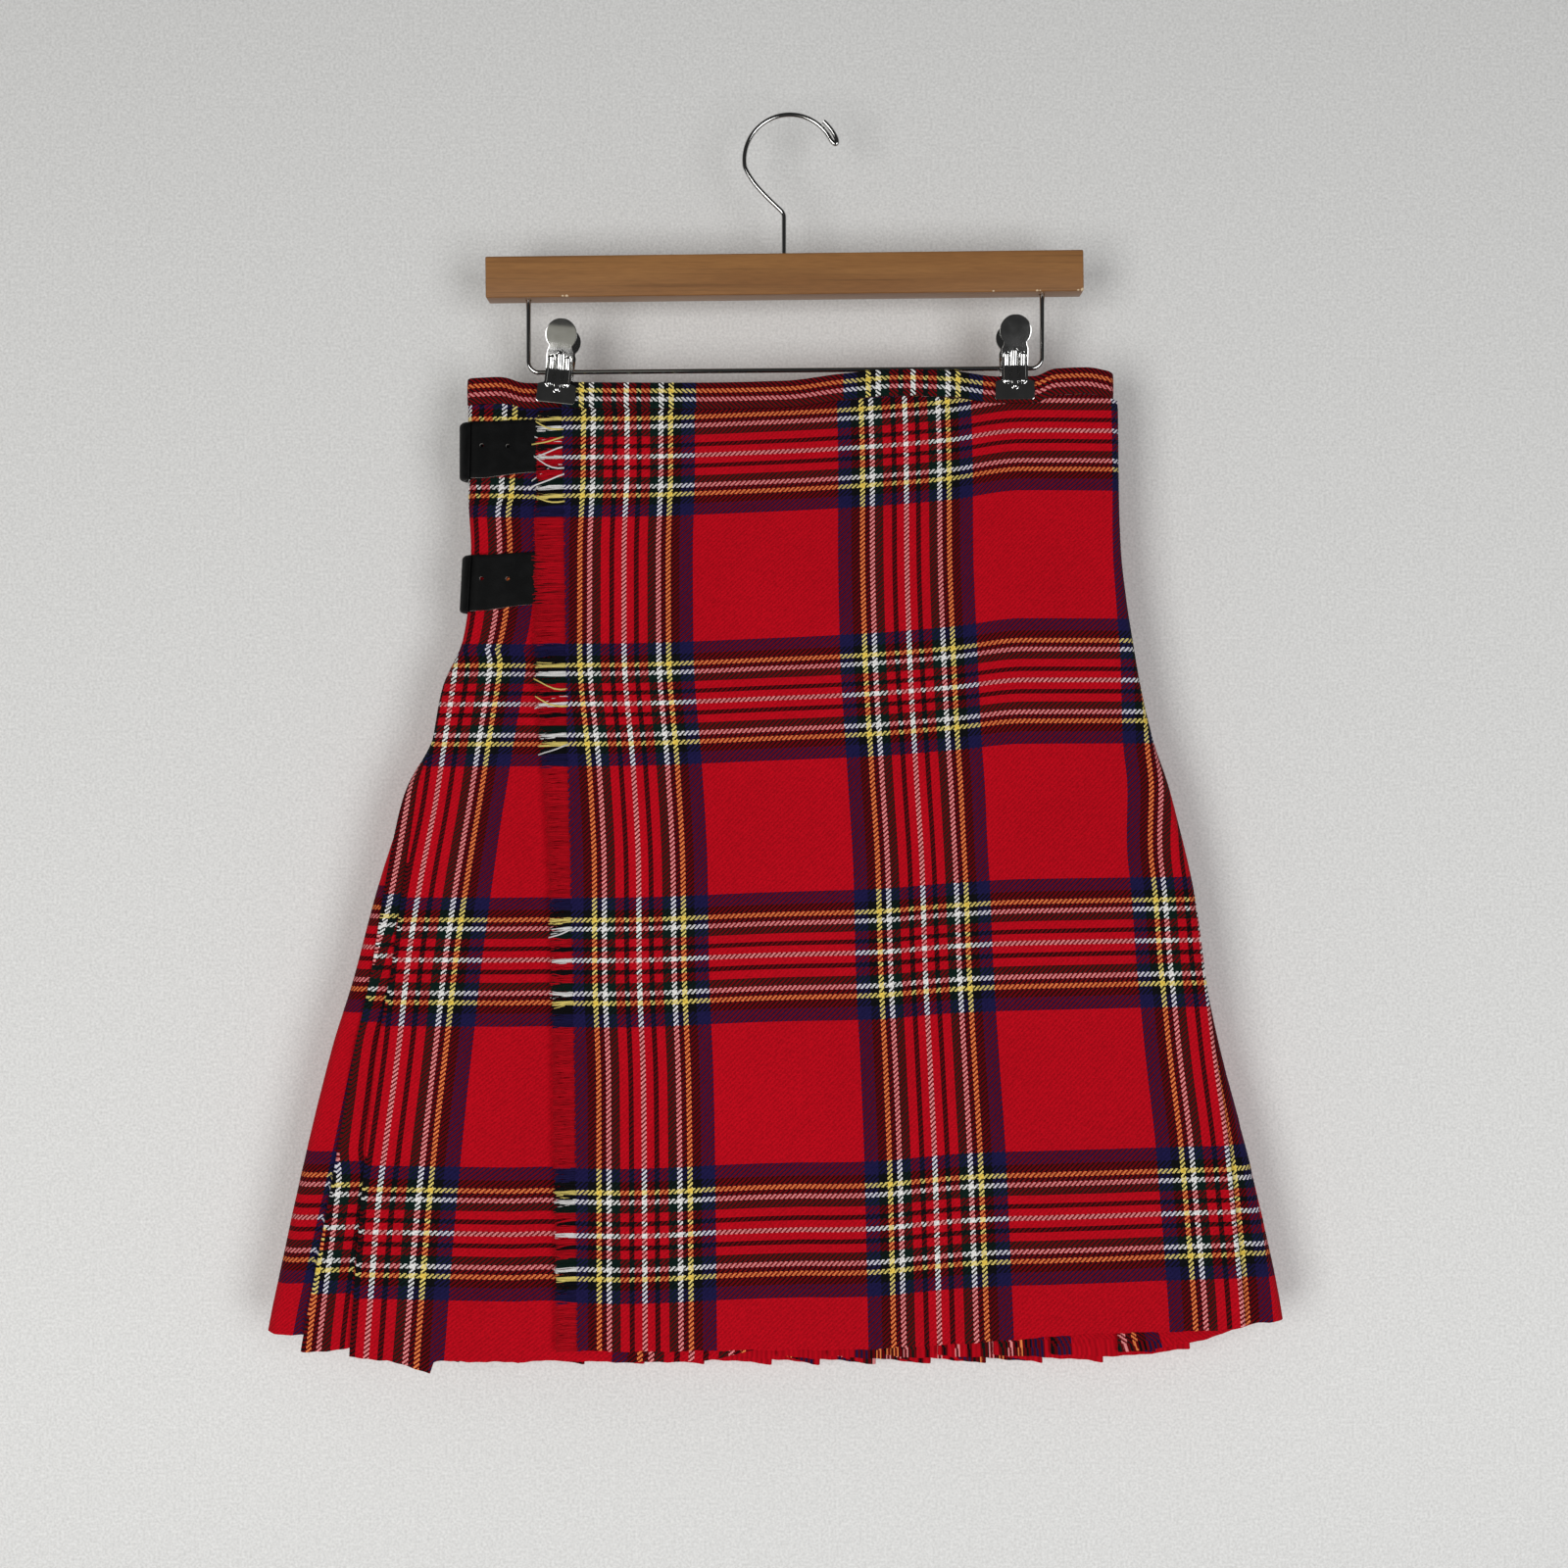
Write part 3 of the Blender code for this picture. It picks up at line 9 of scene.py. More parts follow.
import bmesh
import bpy
import numpy as np
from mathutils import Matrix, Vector


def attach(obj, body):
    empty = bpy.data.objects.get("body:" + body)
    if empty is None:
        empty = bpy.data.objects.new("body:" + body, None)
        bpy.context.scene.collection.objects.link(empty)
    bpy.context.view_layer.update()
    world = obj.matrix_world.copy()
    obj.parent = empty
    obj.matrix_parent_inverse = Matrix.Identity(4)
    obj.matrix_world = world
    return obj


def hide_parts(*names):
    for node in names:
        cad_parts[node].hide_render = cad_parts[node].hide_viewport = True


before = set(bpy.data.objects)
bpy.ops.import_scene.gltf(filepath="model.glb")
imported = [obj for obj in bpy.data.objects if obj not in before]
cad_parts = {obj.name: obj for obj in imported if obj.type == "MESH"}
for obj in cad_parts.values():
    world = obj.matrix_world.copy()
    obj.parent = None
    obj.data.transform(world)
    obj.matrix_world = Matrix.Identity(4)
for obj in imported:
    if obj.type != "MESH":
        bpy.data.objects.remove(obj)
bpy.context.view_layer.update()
MM = 0.001
print("CAD nodes:", len(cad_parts))

# %% [markdown]
# The camera stands level with the middle of the kilt, 1.2 m in front of it, as in a product
# photograph.  A 45 mm lens on a 36 mm sensor takes in 960 mm at that distance, so the wall
# shows as wide round the kilt as it does in the photograph.

# %% Camera
CAMERA_DISTANCE = 1.2
CAMERA_X = -0.0024
CAMERA_Z = -0.4098
LENS = 45.0
SENSOR = 36.0
camera_data = bpy.data.cameras.new("camera")
camera_data.lens = LENS
camera_data.sensor_width = SENSOR
camera = bpy.data.objects.new("camera", camera_data)
camera.location = (CAMERA_X, -CAMERA_DISTANCE, CAMERA_Z)
camera.rotation_euler = (math.radians(90.0), 0.0, 0.0)
bpy.context.scene.collection.objects.link(camera)
bpy.context.scene.camera = camera
print("camera sees", round(CAMERA_DISTANCE * SENSOR / LENS, 3), "m across")

# %% [markdown]
# Every material below is built from shader nodes.  These small helpers add a node, set its
# sockets by name and join two sockets, so that each finish reads as a short recipe.


# %% Helpers for materials
def add_node(tree, kind, values=None, **settings):
    """Add a node, set its properties and then its input sockets."""
    node = tree.nodes.new(kind)
    for name, value in settings.items():
        setattr(node, name, value)
    for socket, value in (values or {}).items():
        if isinstance(value, bpy.types.NodeSocket):
            tree.links.new(value, node.inputs[socket])
        else:
            node.inputs[socket].default_value = value
    return node


def maths(tree, operation, first, second=0.0):
    """One math node; its result."""
    return add_node(tree, "ShaderNodeMath", {0: first, 1: second}, operation=operation).outputs[0]


def mix_colours(tree, share, first, second, kind="MIX"):
    """Mix two colours by a share."""
    values = {"Factor": share, 6: first, 7: second}
    node = add_node(tree, "ShaderNodeMix", values, data_type="RGBA", blend_type=kind)
    return node.outputs[2]


print("node helpers ready")


# %% Helpers for values, tones and noise
def map_range(tree, value, start=0.0, end=1.0, low=0.0, high=1.0):
    """A value's share of the way from start to end, as a value between low and high."""
    values = {0: value, 1: start, 2: end, 3: low, 4: high}
    return add_node(tree, "ShaderNodeMapRange", values).outputs[0]


def lighten(tree, value, colour):
    """A colour with its lightness multiplied by a value."""
    values = {"Value": value, "Color": colour}
    return add_node(tree, "ShaderNodeHueSaturation", values).outputs[0]


def object_place(tree):
    return add_node(tree, "ShaderNodeTexCoord").outputs["Object"]


def noise(tree, scale, detail=2.0):
    """Noise in the object's own coordinates."""
    values = {"Vector": object_place(tree), "Scale": scale, "Detail": detail}
    return add_node(tree, "ShaderNodeTexNoise", values).outputs[0]


print("recipe helpers ready")


# %% Helpers for whole materials and groups
def finish_shader(tree, shader, colour=None, roughness=None, height=None, strength=0.0, depth=0.0):
    """Join a colour, a roughness and a height, as relief, to the Principled shader."""
    if colour is not None:
        tree.links.new(colour, shader.inputs["Base Color"])
    if roughness is not None:
        tree.links.new(roughness, shader.inputs["Roughness"])
    if height is not None:
        values = {"Height": height, "Strength": strength, "Distance": depth}
        relief = add_node(tree, "ShaderNodeBump", values)
        tree.links.new(relief.outputs[0], shader.inputs["Normal"])


def new_material(name, **settings):
    """A material with its Principled shader's own sockets set."""
    material = bpy.data.materials.new(name)
    material.use_nodes = True
    shader = material.node_tree.nodes["Principled BSDF"]
    for socket, value in settings.items():
        shader.inputs[socket.replace("_", " ")].default_value = value
    return material, material.node_tree, shader


def new_group(name, inputs, outputs):
    """A node group with named sockets, ready to be filled."""
    tree = bpy.data.node_groups.new(name, "ShaderNodeTree")
    for socket, kind in inputs:
        tree.interface.new_socket(socket, in_out="INPUT", socket_type=kind)
    for socket, kind in outputs:
        tree.interface.new_socket(socket, in_out="OUTPUT", socket_type=kind)
    entry = tree.nodes.new("NodeGroupInput")
    leave = tree.nodes.new("NodeGroupOutput")
    return tree, entry, leave


print("material helpers ready")

# %% [markdown]
# A tartan is a thread count: so many white threads, then so many red, and so on up to a pivot,
# where the count turns back.  The same count runs across the cloth (warp) and down it (weft).
# The cloth's UV map is measured in threads, so one thread is one unit, and a place is folded
# back at the pivots with a ping-pong.

# %% The thread count
# Red, green and blue of a yarn, and the share of its light that it keeps under painted shade
# where it crosses a yarn of another lightness
YARNS = {
    "white": (0.74, 0.73, 0.72, 1.0),
    "red": (0.435, 0.002, 0.009, 0.33),
    "black": (0.004, 0.004, 0.005, 0.8),
    "green": (0.003, 0.012, 0.009, 0.8),
    "yellow": (0.74, 0.60, 0.17, 1.0),
    "blue": (0.010, 0.008, 0.050, 0.85),
}
# Columns: yarn, threads, from one pivot to the next
HALF_SETT = (
    ("white", 2), ("red", 6), ("black", 4), ("red", 7), ("green", 7), ("white", 4),
    ("black", 4), ("yellow", 4), ("black", 7), ("blue", 11), ("red", 59),
)
HALF_THREADS = sum(count for _, count in HALF_SETT)
SETT = 2 * HALF_THREADS
print("threads in one repeat:", SETT)


# %% Colour of a yarn from its thread number
def yarn_ramp(tree, thread):
    """Fold the thread number at the pivots and read its colour and its share under painted shade off
    the count.
    """
    middle = maths(tree, "ADD", maths(tree, "FLOOR", thread), 0.5)
    folded = maths(tree, "PINGPONG", middle, float(HALF_THREADS))
    share = maths(tree, "DIVIDE", folded, float(HALF_THREADS))
    ramp = add_node(tree, "ShaderNodeValToRGB", {0: share})
    ramp.color_ramp.interpolation = "CONSTANT"
    stops = ramp.color_ramp.elements
    start = 0
    for index, (name, count) in enumerate(HALF_SETT):
        place = start / HALF_THREADS
        stop = stops[index] if index < 2 else stops.new(place)
        stop.position = place
        stop.color = YARNS[name]
        start += count
    return ramp.outputs


print("bands on a yarn's ramp:", len(HALF_SETT))

# %% [markdown]
# In a 2/2 twill each yarn passes over two and under two, one step on in each row, which draws
# the diagonal ribs; their colour carries painted shade in the grooves and painted light on the
# crests.  The mask says which of the two yarns is on top.  A pale yarn picks up the colour of
# the yarn that it crosses, so yellow looks orange on red, and a red yarn between the yarns of
# another colour is darkened with painted shade, the shade of its raised neighbours.  The weave
# is a group, so that cloth and waistband share it; its lean turns the ribs the other way.

# %% Measures of the weave
# Share of the crossed yarn's hue that a pale yarn takes
HUE_TAKEN = 0.66
# A rib's painted shade: its mean lightness and how far it swings; and how far one yarn's own tone
# differs from another
RIB_SHADE_MEAN = 0.83
RIB_SHADE_SWING = 0.15
YARN_SPREAD = 0.34
WHITE = (1.0, 1.0, 1.0, 1.0)
print("rib lightness:", RIB_SHADE_MEAN - RIB_SHADE_SWING, "to", RIB_SHADE_MEAN + RIB_SHADE_SWING + YARN_SPREAD)

# %% Twill weave group
weave, weave_in, weave_out = new_group(
    "Twill weave",
    (("Across", "NodeSocketFloat"), ("Down", "NodeSocketFloat"), ("Lean", "NodeSocketFloat")),
    (("Colour", "NodeSocketColor"), ("Height", "NodeSocketFloat")),
)
across = weave_in.outputs["Across"]
down = weave_in.outputs["Down"]
warp_colour, warp_shaded_light = yarn_ramp(weave, across)
weft_colour, weft_shaded_light = yarn_ramp(weave, down)
across_thread = maths(weave, "FLOOR", across)
down_thread = maths(weave, "FLOOR", down)
leaning = maths(weave, "MULTIPLY", down_thread, weave_in.outputs["Lean"])
step = maths(weave, "ADD", across_thread, leaning)
in_four = maths(weave, "FLOORED_MODULO", maths(weave, "ADD", step, 0.5), 4.0)
weft_on_top = maths(weave, "GREATER_THAN", in_four, 2.0)
top_colour = mix_colours(weave, weft_on_top, warp_colour, weft_colour)
under_colour = mix_colours(weave, weft_on_top, weft_colour, warp_colour)
# Painted shade: the share of the top yarn's light that is left where it crosses a yarn of another
# lightness
top_shaded_light = add_node(
    weave, "ShaderNodeMix", {"Factor": weft_on_top, 2: warp_shaded_light, 3: weft_shaded_light}
).outputs[0]
print("twill:", len(weave.nodes), "nodes")


# %% What a yarn takes from the one that it crosses, and the painted shade there
def brightness(tree, colour):
    parts = add_node(tree, "ShaderNodeSeparateColor", {0: colour}, mode="HSV")
    return parts.outputs[2]


def scale_colour(tree, colour, value):
    """Multiply a colour by a value."""
    grey = add_node(tree, "ShaderNodeCombineXYZ", {0: value, 1: value, 2: value})
    return mix_colours(tree, 1.0, colour, grey.outputs[0], kind="MULTIPLY")


under_value = brightness(weave, under_colour)
top_green = add_node(weave, "ShaderNodeSeparateColor", {0: top_colour}).outputs[1]
paleness = map_range(weave, top_green, 0.05, 0.5, high=HUE_TAKEN)
under_hue = scale_colour(weave, under_colour, maths(weave, "DIVIDE", 1.0, under_value))
vivid = map_range(weave, under_value, 0.0, 0.3)
tint = mix_colours(weave, maths(weave, "MULTIPLY", paleness, vivid), WHITE, under_hue)
tinted = mix_colours(weave, 1.0, top_colour, tint, kind="MULTIPLY")
gap = maths(weave, "SUBTRACT", brightness(weave, top_colour), under_value)
# Painted shade: a yarn that crosses one of another lightness is darkened, the shade of its raised
# neighbours
crossing_shade = map_range(weave, maths(weave, "ABSOLUTE", gap), 0.02, 0.2, 1.0, top_shaded_light)
print("weave with its tints:", len(weave.nodes), "nodes")

# %% Uneven yarn, the ribs' painted shade and their relief
thread_place = add_node(weave, "ShaderNodeCombineXYZ", {0: across_thread, 1: down_thread})
uneven = add_node(
    weave, "ShaderNodeTexWhiteNoise", {"Vector": thread_place.outputs[0]}, noise_dimensions="2D"
)
smooth_lean = maths(weave, "MULTIPLY", down, weave_in.outputs["Lean"])
phase = maths(weave, "MULTIPLY", maths(weave, "ADD", across, smooth_lean), math.pi / 2)
rib = maths(weave, "SINE", phase)
# Painted shade and painted light of the ribs: darker in the grooves, lighter on the crests
rib_shade = maths(weave, "ADD", maths(weave, "MULTIPLY", rib, RIB_SHADE_SWING), RIB_SHADE_MEAN)
spread = maths(weave, "MULTIPLY", uneven.outputs["Value"], YARN_SPREAD)
# Each yarn's random tone, times the painted shade of the ribs and of the crossings
lightness = maths(weave, "MULTIPLY", maths(weave, "ADD", spread, rib_shade), crossing_shade)
weave.links.new(scale_colour(weave, tinted, lightness), weave_out.inputs["Colour"])
weave.links.new(rib, weave_out.inputs["Height"])
print("weave nodes:", len(weave.nodes))


# %% Tartan materials
def tartan_material(name, lean):
    """Worsted tartan: the weave with its painted shade, a slow change of tone over it and the ribs as
    relief.
    """
    material, tree, shader = new_material(
        name, Roughness=0.95, Sheen_Weight=0.03, Sheen_Roughness=0.5, Specular_IOR_Level=0.06
    )
    place = add_node(tree, "ShaderNodeUVMap", uv_map="threads")
    parts = add_node(tree, "ShaderNodeSeparateXYZ", {0: place.outputs[0]})
    values = {"Across": parts.outputs[0], "Down": parts.outputs[1], "Lean": lean}
    cloth = add_node(tree, "ShaderNodeGroup", values, node_tree=weave)
    worn = map_range(tree, noise(tree, 14.0, 3.0), low=0.90, high=1.09)
    tone = lighten(tree, worn, cloth.outputs["Colour"])
    finish_shader(tree, shader, tone, None, cloth.outputs["Height"], 0.35, 0.0003)
    return material


tartan = tartan_material("Tartan cloth", 1.0)
band_tartan = tartan_material("Waistband cloth", -1.0)
print("cloth materials:", tartan.name, band_tartan.name)

# %% [markdown]
# The kilt hangs as a flat loop that widens to the hem.  Its tables are the same as the solid
# model's: the outline seen from the front, how far the loop bulges, and where the folds lie.
# Here they are read with a smooth curve, so that no line of the outline shows a kink.

# %% Sizes of the cloth, in mm
CLOTH = 1.15
GAP = 0.35
ROW_TOP = -171.0
ROW_HEM = -752.0
# Rows are level between these shares of the way down
LEVEL_FROM = 0.16
LEVEL_TO = 0.6
# Columns: Z, X of the left and the right outline
OUTLINE = np.array((
    (-156.0, -196.0, 199.0), (-176.0, -195.6, 202.2), (-231.0, -195.6, 202.8),
    (-266.0, -194.0, 204.0), (-299.0, -195.5, 207.6), (-322.0, -199.0, 211.2),
    (-350.0, -211.2, 216.0), (-384.0, -219.5, 224.0), (-409.0, -232.0, 232.5),
    (-433.0, -240.6, 239.0), (-475.0, -253.5, 249.0), (-530.0, -267.6, 258.0),
    (-570.0, -279.5, 265.2), (-637.0, -295.2, 280.0), (-700.0, -308.5, 293.0),
    (-745.0, -317.7, 301.5), (-775.0, -323.0, 306.0),
))
# Columns: row, end radius, front bulge, back bulge, layer pitch, tuck share
LOOP = np.array((
    (0.00, 5.1, 0.0, 0.0, 1.55, 0.42), (0.10, 5.8, 2.0, 3.0, 1.58, 0.45),
    (0.37, 7.0, 8.0, 9.0, 1.65, 0.50), (0.70, 8.9, 14.0, 15.0, 1.95, 0.66),
    (1.00, 11.0, 18.0, 19.0, 2.20, 0.76),
))
PLEAT_EDGES = (
    0.0, 0.088, 0.150, 0.208, 0.265, 0.322, 0.380, 0.430, 0.500,
    0.562, 0.624, 0.690, 0.752, 0.812, 0.871, 0.931, 1.0,
)
LAST_EDGE = len(PLEAT_EDGES)
# Columns: row, first edge from the right end, last edge and under apron's edge from the left end
EDGE_PLACES = np.array((
    (0.000, 23.0, -26.0, -3.0), (0.200, 26.0, -20.0, -1.0), (0.300, 28.5, -16.0, 2.0),
    (0.367, 30.0, -8.0, 6.7), (0.440, 34.0, 5.0, 16.0), (0.520, 39.0, 12.8, 24.0),
    (0.660, 46.0, 21.0, 34.0), (0.817, 53.0, 27.6, 46.0), (1.000, 61.6, 30.9, 60.8),
))
# Columns: row, fold in from the right outline, X of the fringe's root, X of the hidden edge
APRON_PLACES = np.array((
    (0.00, 0.6, -138.0, 120.0), (0.37, 0.7, -134.0, 136.0), (0.50, 1.3, -132.0, 142.0),
    (0.62, 3.6, -130.0, 150.0), (0.77, 11.0, -128.5, 158.0), (0.87, 18.0, -127.5, 162.0),
    (1.00, 26.4, -127.0, 166.0),
))
print("pleat folds:", LAST_EDGE)

# %% Edges at the waist and the hem (X, Z)
WAIST = np.array((
    (-197.0, -162.4), (-171.0, -161.4), (-150.0, -163.0), (-125.0, -164.7), (-60.0, -165.0),
    (-2.0, -163.8), (34.0, -159.4), (70.0, -156.8), (100.0, -157.8), (128.0, -161.2),
    (150.0, -161.0), (163.0, -156.4), (182.0, -155.6), (200.0, -159.0),
))
BACK_WAIST = np.array(((-197.0, -162.4), (-150.0, -164.4), (150.0, -162.6), (200.0, -159.0)))
APRON_HEM = np.array((
    (-130.0, -749.4), (0.0, -748.0), (60.0, -746.8), (120.0, -744.8), (190.0, -740.6),
    (240.0, -741.0), (262.0, -740.4), (300.0, -736.0),
))
UNDER_HEM = np.array((
    (-266.0, -756.8), (-242.0, -758.2), (-216.0, -765.0), (-213.6, -757.8), (-50.0, -756.0),
    (0.0, -745.0), (170.0, -736.0),
))
# Columns: share of the way from the right end to the left one, Z
PLEAT_HEM = np.array((
    (0.00, -736.0), (0.08, -752.0), (0.18, -764.0), (0.50, -769.0), (0.82, -764.0),
    (0.93, -751.0), (0.99, -741.2), (1.00, -740.8), (1.05, -745.2), (1.15, -749.2),
))
BAND_DEPTH = 4.2
BAND_HEIGHT = 16.0
SEAM = 0.7
print("waist tables:", len(WAIST), "front points")


# %% Smooth reading of the tables
def eased(table, value, index):
    """Read a table's column with a curve that bends smoothly and never overshoots."""
    places = table[:, 0]
    heights = table[:, index]
    slopes = np.diff(heights) / np.diff(places)
    before = slopes[:-1]
    after = slopes[1:]
    same_way = before * after > 0
    both = np.where(same_way, before + after, 1.0)
    middle = np.where(same_way, 2.0 * before * after / both, 0.0)
    tangents = np.concatenate([[slopes[0]], middle, [slopes[-1]]])
    value = np.clip(value, places[0], places[-1])
    cell = np.clip(np.searchsorted(places, value, side="right") - 1, 0, len(places) - 2)
    width = places[cell + 1] - places[cell]
    share = (value - places[cell]) / width
    square = share * share
    cube = square * share
    return (
        (2 * cube - 3 * square + 1) * heights[cell]
        + (cube - 2 * square + share) * width * tangents[cell]
        + (3 * square - 2 * cube) * heights[cell + 1]
        + (cube - square) * width * tangents[cell + 1]
    )


def smooth_step(value, start, end):
    share = np.clip((value - start) / (end - start), 0.0, 1.0)
    return share * share * (3.0 - 2.0 * share)


def height_of(row):
    return ROW_TOP + row * (ROW_HEM - ROW_TOP)


def row_of(z):
    return (z - ROW_TOP) / (ROW_HEM - ROW_TOP)


def blended_height(row, top, bottom):
    """Height of a row's place: level in the middle, following the real edges at both ends."""
    z = height_of(row) + (top - ROW_TOP) * (1.0 - smooth_step(row, 0.0, LEVEL_FROM))
    return z + (bottom - ROW_HEM) * smooth_step(row, LEVEL_TO, 1.0)


OUTLINE_BY_DEPTH = OUTLINE * np.array((-1.0, 1.0, 1.0))
print("outline at the hip:", eased(OUTLINE_BY_DEPTH, 300.0, 1).round(1))

# %% [markdown]
# Cloth that hangs from two clips doesn't stay flat.  Broad folds swell the apron, and small
# creases run down from the clips.  A simulation would lose the folds' places, so each crease
# is listed one by one: two ends, a width and a height, all uneven, as on the real kilt.

# %% Folds and creases of the front
# Columns: X, top Z, bottom Z, width, height toward the viewer
APRON_FOLDS = (
    (-95.0, -470.0, -900.0, 26.0, 2.4), (-30.0, -300.0, -820.0, 44.0, -2.0),
    (45.0, -420.0, -900.0, 30.0, 2.6), (118.0, -170.0, -260.0, 12.0, 2.2),
    (128.0, -380.0, -900.0, 34.0, -2.2), (196.0, -450.0, -900.0, 24.0, 2.4),
)
# Columns: X and Z of both ends, width, height toward the viewer
CREASES = (
    (108.0, -196.0, 146.0, -178.0, 4.0, 1.5),
    (96.0, -178.0, 128.0, -206.0, 7.0, 0.9),
    (60.0, -186.0, 104.0, -214.0, 9.0, 0.7),
    (152.0, -184.0, 188.0, -232.0, 8.0, 0.9),
    (-128.0, -186.0, -92.0, -250.0, 8.0, 0.7),
    (-118.0, -320.0, -84.0, -430.0, 10.0, 0.6),
    (-60.0, -560.0, -70.0, -752.0, 9.0, 0.9),
    (6.0, -600.0, 14.0, -760.0, 8.0, -0.8),
    (86.0, -540.0, 92.0, -760.0, 10.0, 0.9),
    (150.0, -600.0, 158.0, -760.0, 8.0, 0.8),
    (178.0, -300.0, 196.0, -420.0, 9.0, 0.6),
    (10.0, -240.0, 40.0, -330.0, 14.0, 0.5),
    (222.0, -560.0, 240.0, -730.0, 7.0, 0.7),
)


def soft_folds(x, z):
    """Height of the broad folds toward the viewer, in mm."""
    total = np.zeros_like(x)
    for centre, top, bottom, width, height in APRON_FOLDS:
        if bottom < z < top:
            along = math.sin(math.pi * (top - z) / (top - bottom))
            total += height * along * np.exp(-(((x - centre) / width) ** 2))
    return total


def creases(x, z):
    """Height of the small creases toward the viewer, in mm, fading at both their ends."""
    total = np.zeros_like(x)
    for x0, z0, x1, z1, width, height in CREASES:
        length = math.hypot(x1 - x0, z1 - z0)
        along = ((x - x0) * (x1 - x0) + (z - z0) * (z1 - z0)) / length ** 2
        held = np.clip(along, 0.0, 1.0)
        off = np.hypot(x - x0 - held * (x1 - x0), z - z0 - held * (z1 - z0))
        body = 0.35 + 0.65 * np.sin(math.pi * held)
        total += height * body * np.exp(-((off / width) ** 2))
    return total


print("folds:", len(APRON_FOLDS), "creases:", len(CREASES))

# %% [markdown]
# One row of the kilt, seen from above, is a loop with round ends.  A layer of cloth is written
# as distances along that loop and depths inside it, so a pleat is only a few numbers.  Place
# turns them into points.  Distance 0 is at the wearer's left, and grows over the back.


# %% The loop that the cloth follows
def lengths_along(points):
    """Distance of each point along a line, from its first point."""
    steps = np.hypot(*np.diff(points, axis=0).T)
    return np.concatenate([[0.0], np.cumsum(steps)])


class Loop:
    """One row's plan.  PROBE is the half step, in mm, over which its direction is measured."""

    ARC_STEPS = 20
    SIDE_STEPS = 160
    SWELL_POWER = 1.5
    PROBE = 0.6

    def __init__(self, row):
        self.row = row
        z = height_of(row)
        self.left = eased(OUTLINE_BY_DEPTH, -z, 1) + CLOTH / 2
        self.right = eased(OUTLINE_BY_DEPTH, -z, 2) - CLOTH / 2
        self.radius, self.front, self.back, self.pitch, self.tuck_share = [
            float(eased(LOOP, row, index)) for index in range(1, 6)
        ]
        self.quarter = math.pi / 2 * self.radius
        self.points = self.trace(z)
        self.lengths = lengths_along(self.points)
        self.total = self.lengths[-1]
        self.end_index = 2 * self.ARC_STEPS + self.SIDE_STEPS
        self.left_end = self.lengths[self.end_index]

    def trace(self, z):
        """Points from the right end, over the back to the left end, and along the front."""
        start = self.right - self.radius
        end = self.left + self.radius
        turn = math.pi / 2 * np.arange(self.ARC_STEPS) / self.ARC_STEPS
        left_turn = math.pi / 2 + math.pi * np.arange(2 * self.ARC_STEPS) / (2 * self.ARC_STEPS)
        last_turn = np.append(turn, math.pi / 2) - math.pi / 2
        share = np.arange(self.SIDE_STEPS) / self.SIDE_STEPS
        swell = np.clip(1.0 - (2.0 * share - 1.0) ** 2, 0.0, 1.0) ** self.SWELL_POWER
        back_x = start + (end - start) * share
        front_x = end + (start - end) * share
        front_y = -self.radius - swell * (self.front + soft_folds(front_x, z))
        return np.vstack([
            self.round_end(start, turn),
            np.column_stack([back_x, self.radius + self.back * swell]),
            self.round_end(end, left_turn),
            np.column_stack([front_x, front_y]),
            self.round_end(start, last_turn),
        ])

    def round_end(self, centre, angles):
        return np.column_stack([
            centre + self.radius * np.cos(angles), self.radius * np.sin(angles)
        ])

    def on_loop(self, distance):
        around = np.mod(distance, self.total)
        return np.column_stack([
            np.interp(around, self.lengths, self.points[:, 0]),
            np.interp(around, self.lengths, self.points[:, 1]),
        ])

    def place(self, distance, depth):
        """Points at distances along the loop and depths inside it, and the way inward."""
        forward = self.on_loop(distance + self.PROBE) - self.on_loop(distance - self.PROBE)
        forward = forward / np.hypot(*forward.T)[:, None]
        inward = np.column_stack([-forward[:, 1], forward[:, 0]])
        return self.on_loop(distance) + inward * np.asarray(depth)[:, None], inward

    def front_distance(self, x):
        side = slice(self.end_index, -self.ARC_STEPS)
        return float(np.interp(x, self.points[side, 0], self.lengths[side]))

    def back_distance(self, x):
        side = slice(self.ARC_STEPS, self.ARC_STEPS + self.SIDE_STEPS)
        return float(np.interp(-x, -self.points[side, 0], self.lengths[side]))

    def fold(self):
        """Distance of the outer apron's folded edge, just before the loop's start."""
        inset = float(eased(APRON_PLACES, self.row, 1))
        if inset < self.radius:
            return -self.radius * math.acos(1.0 - inset / self.radius)
        return -(self.quarter + inset - self.radius)

    def edge(self, index):
        """Distance of a pleat's fold edge."""
        first = float(eased(EDGE_PLACES, self.row, 1))
        last = self.left_end + float(eased(EDGE_PLACES, self.row, 2))
        if index < LAST_EDGE:
            return first + (last - first) * PLEAT_EDGES[index]
        return self.left_end + float(eased(EDGE_PLACES, self.row, 3))

    def tuck(self, index):
        """Depth of the fold behind a pleat's edge."""
        reveals = []
        if index > 0:
            reveals.append(self.edge(index) - self.edge(index - 1))
        if index < LAST_EDGE:
            reveals.append(self.edge(index + 1) - self.edge(index))
        return min(reveals) * self.tuck_share


hip = Loop(0.37)
print("round the hip:", round(hip.total, 1), "mm")

# %% [markdown]
# The cloth must carry its pattern as it was woven, so every point of a path also has a thread
# number.  On the apron two lines of the tartan are pinned to where they hang, and the threads
# between are spread evenly.  Each pleat starts its own count at its folded edge, because a
# fold follows one thread from the hip to the hem.

# %% Where the tartan's lines hang
THREAD = 0.76
# Columns: row, X of the first white line, X of the second, thread number at the apron's fold
APRON_THREADS = np.array((
    (0.00, -98.0, 71.0, 411.0), (0.07, -98.0, 72.0, 411.0), (0.17, -99.6, 72.2, 413.0),
    (0.27, -99.4, 73.6, 418.0), (0.40, -93.3, 77.5, 438.0), (0.50, -90.2, 81.0, 457.0),
    (0.60, -89.6, 82.6, 460.0), (0.72, -86.8, 85.8, 460.0), (0.80, -86.2, 87.8, 460.0),
    (1.00, -85.3, 90.7, 460.0),
))
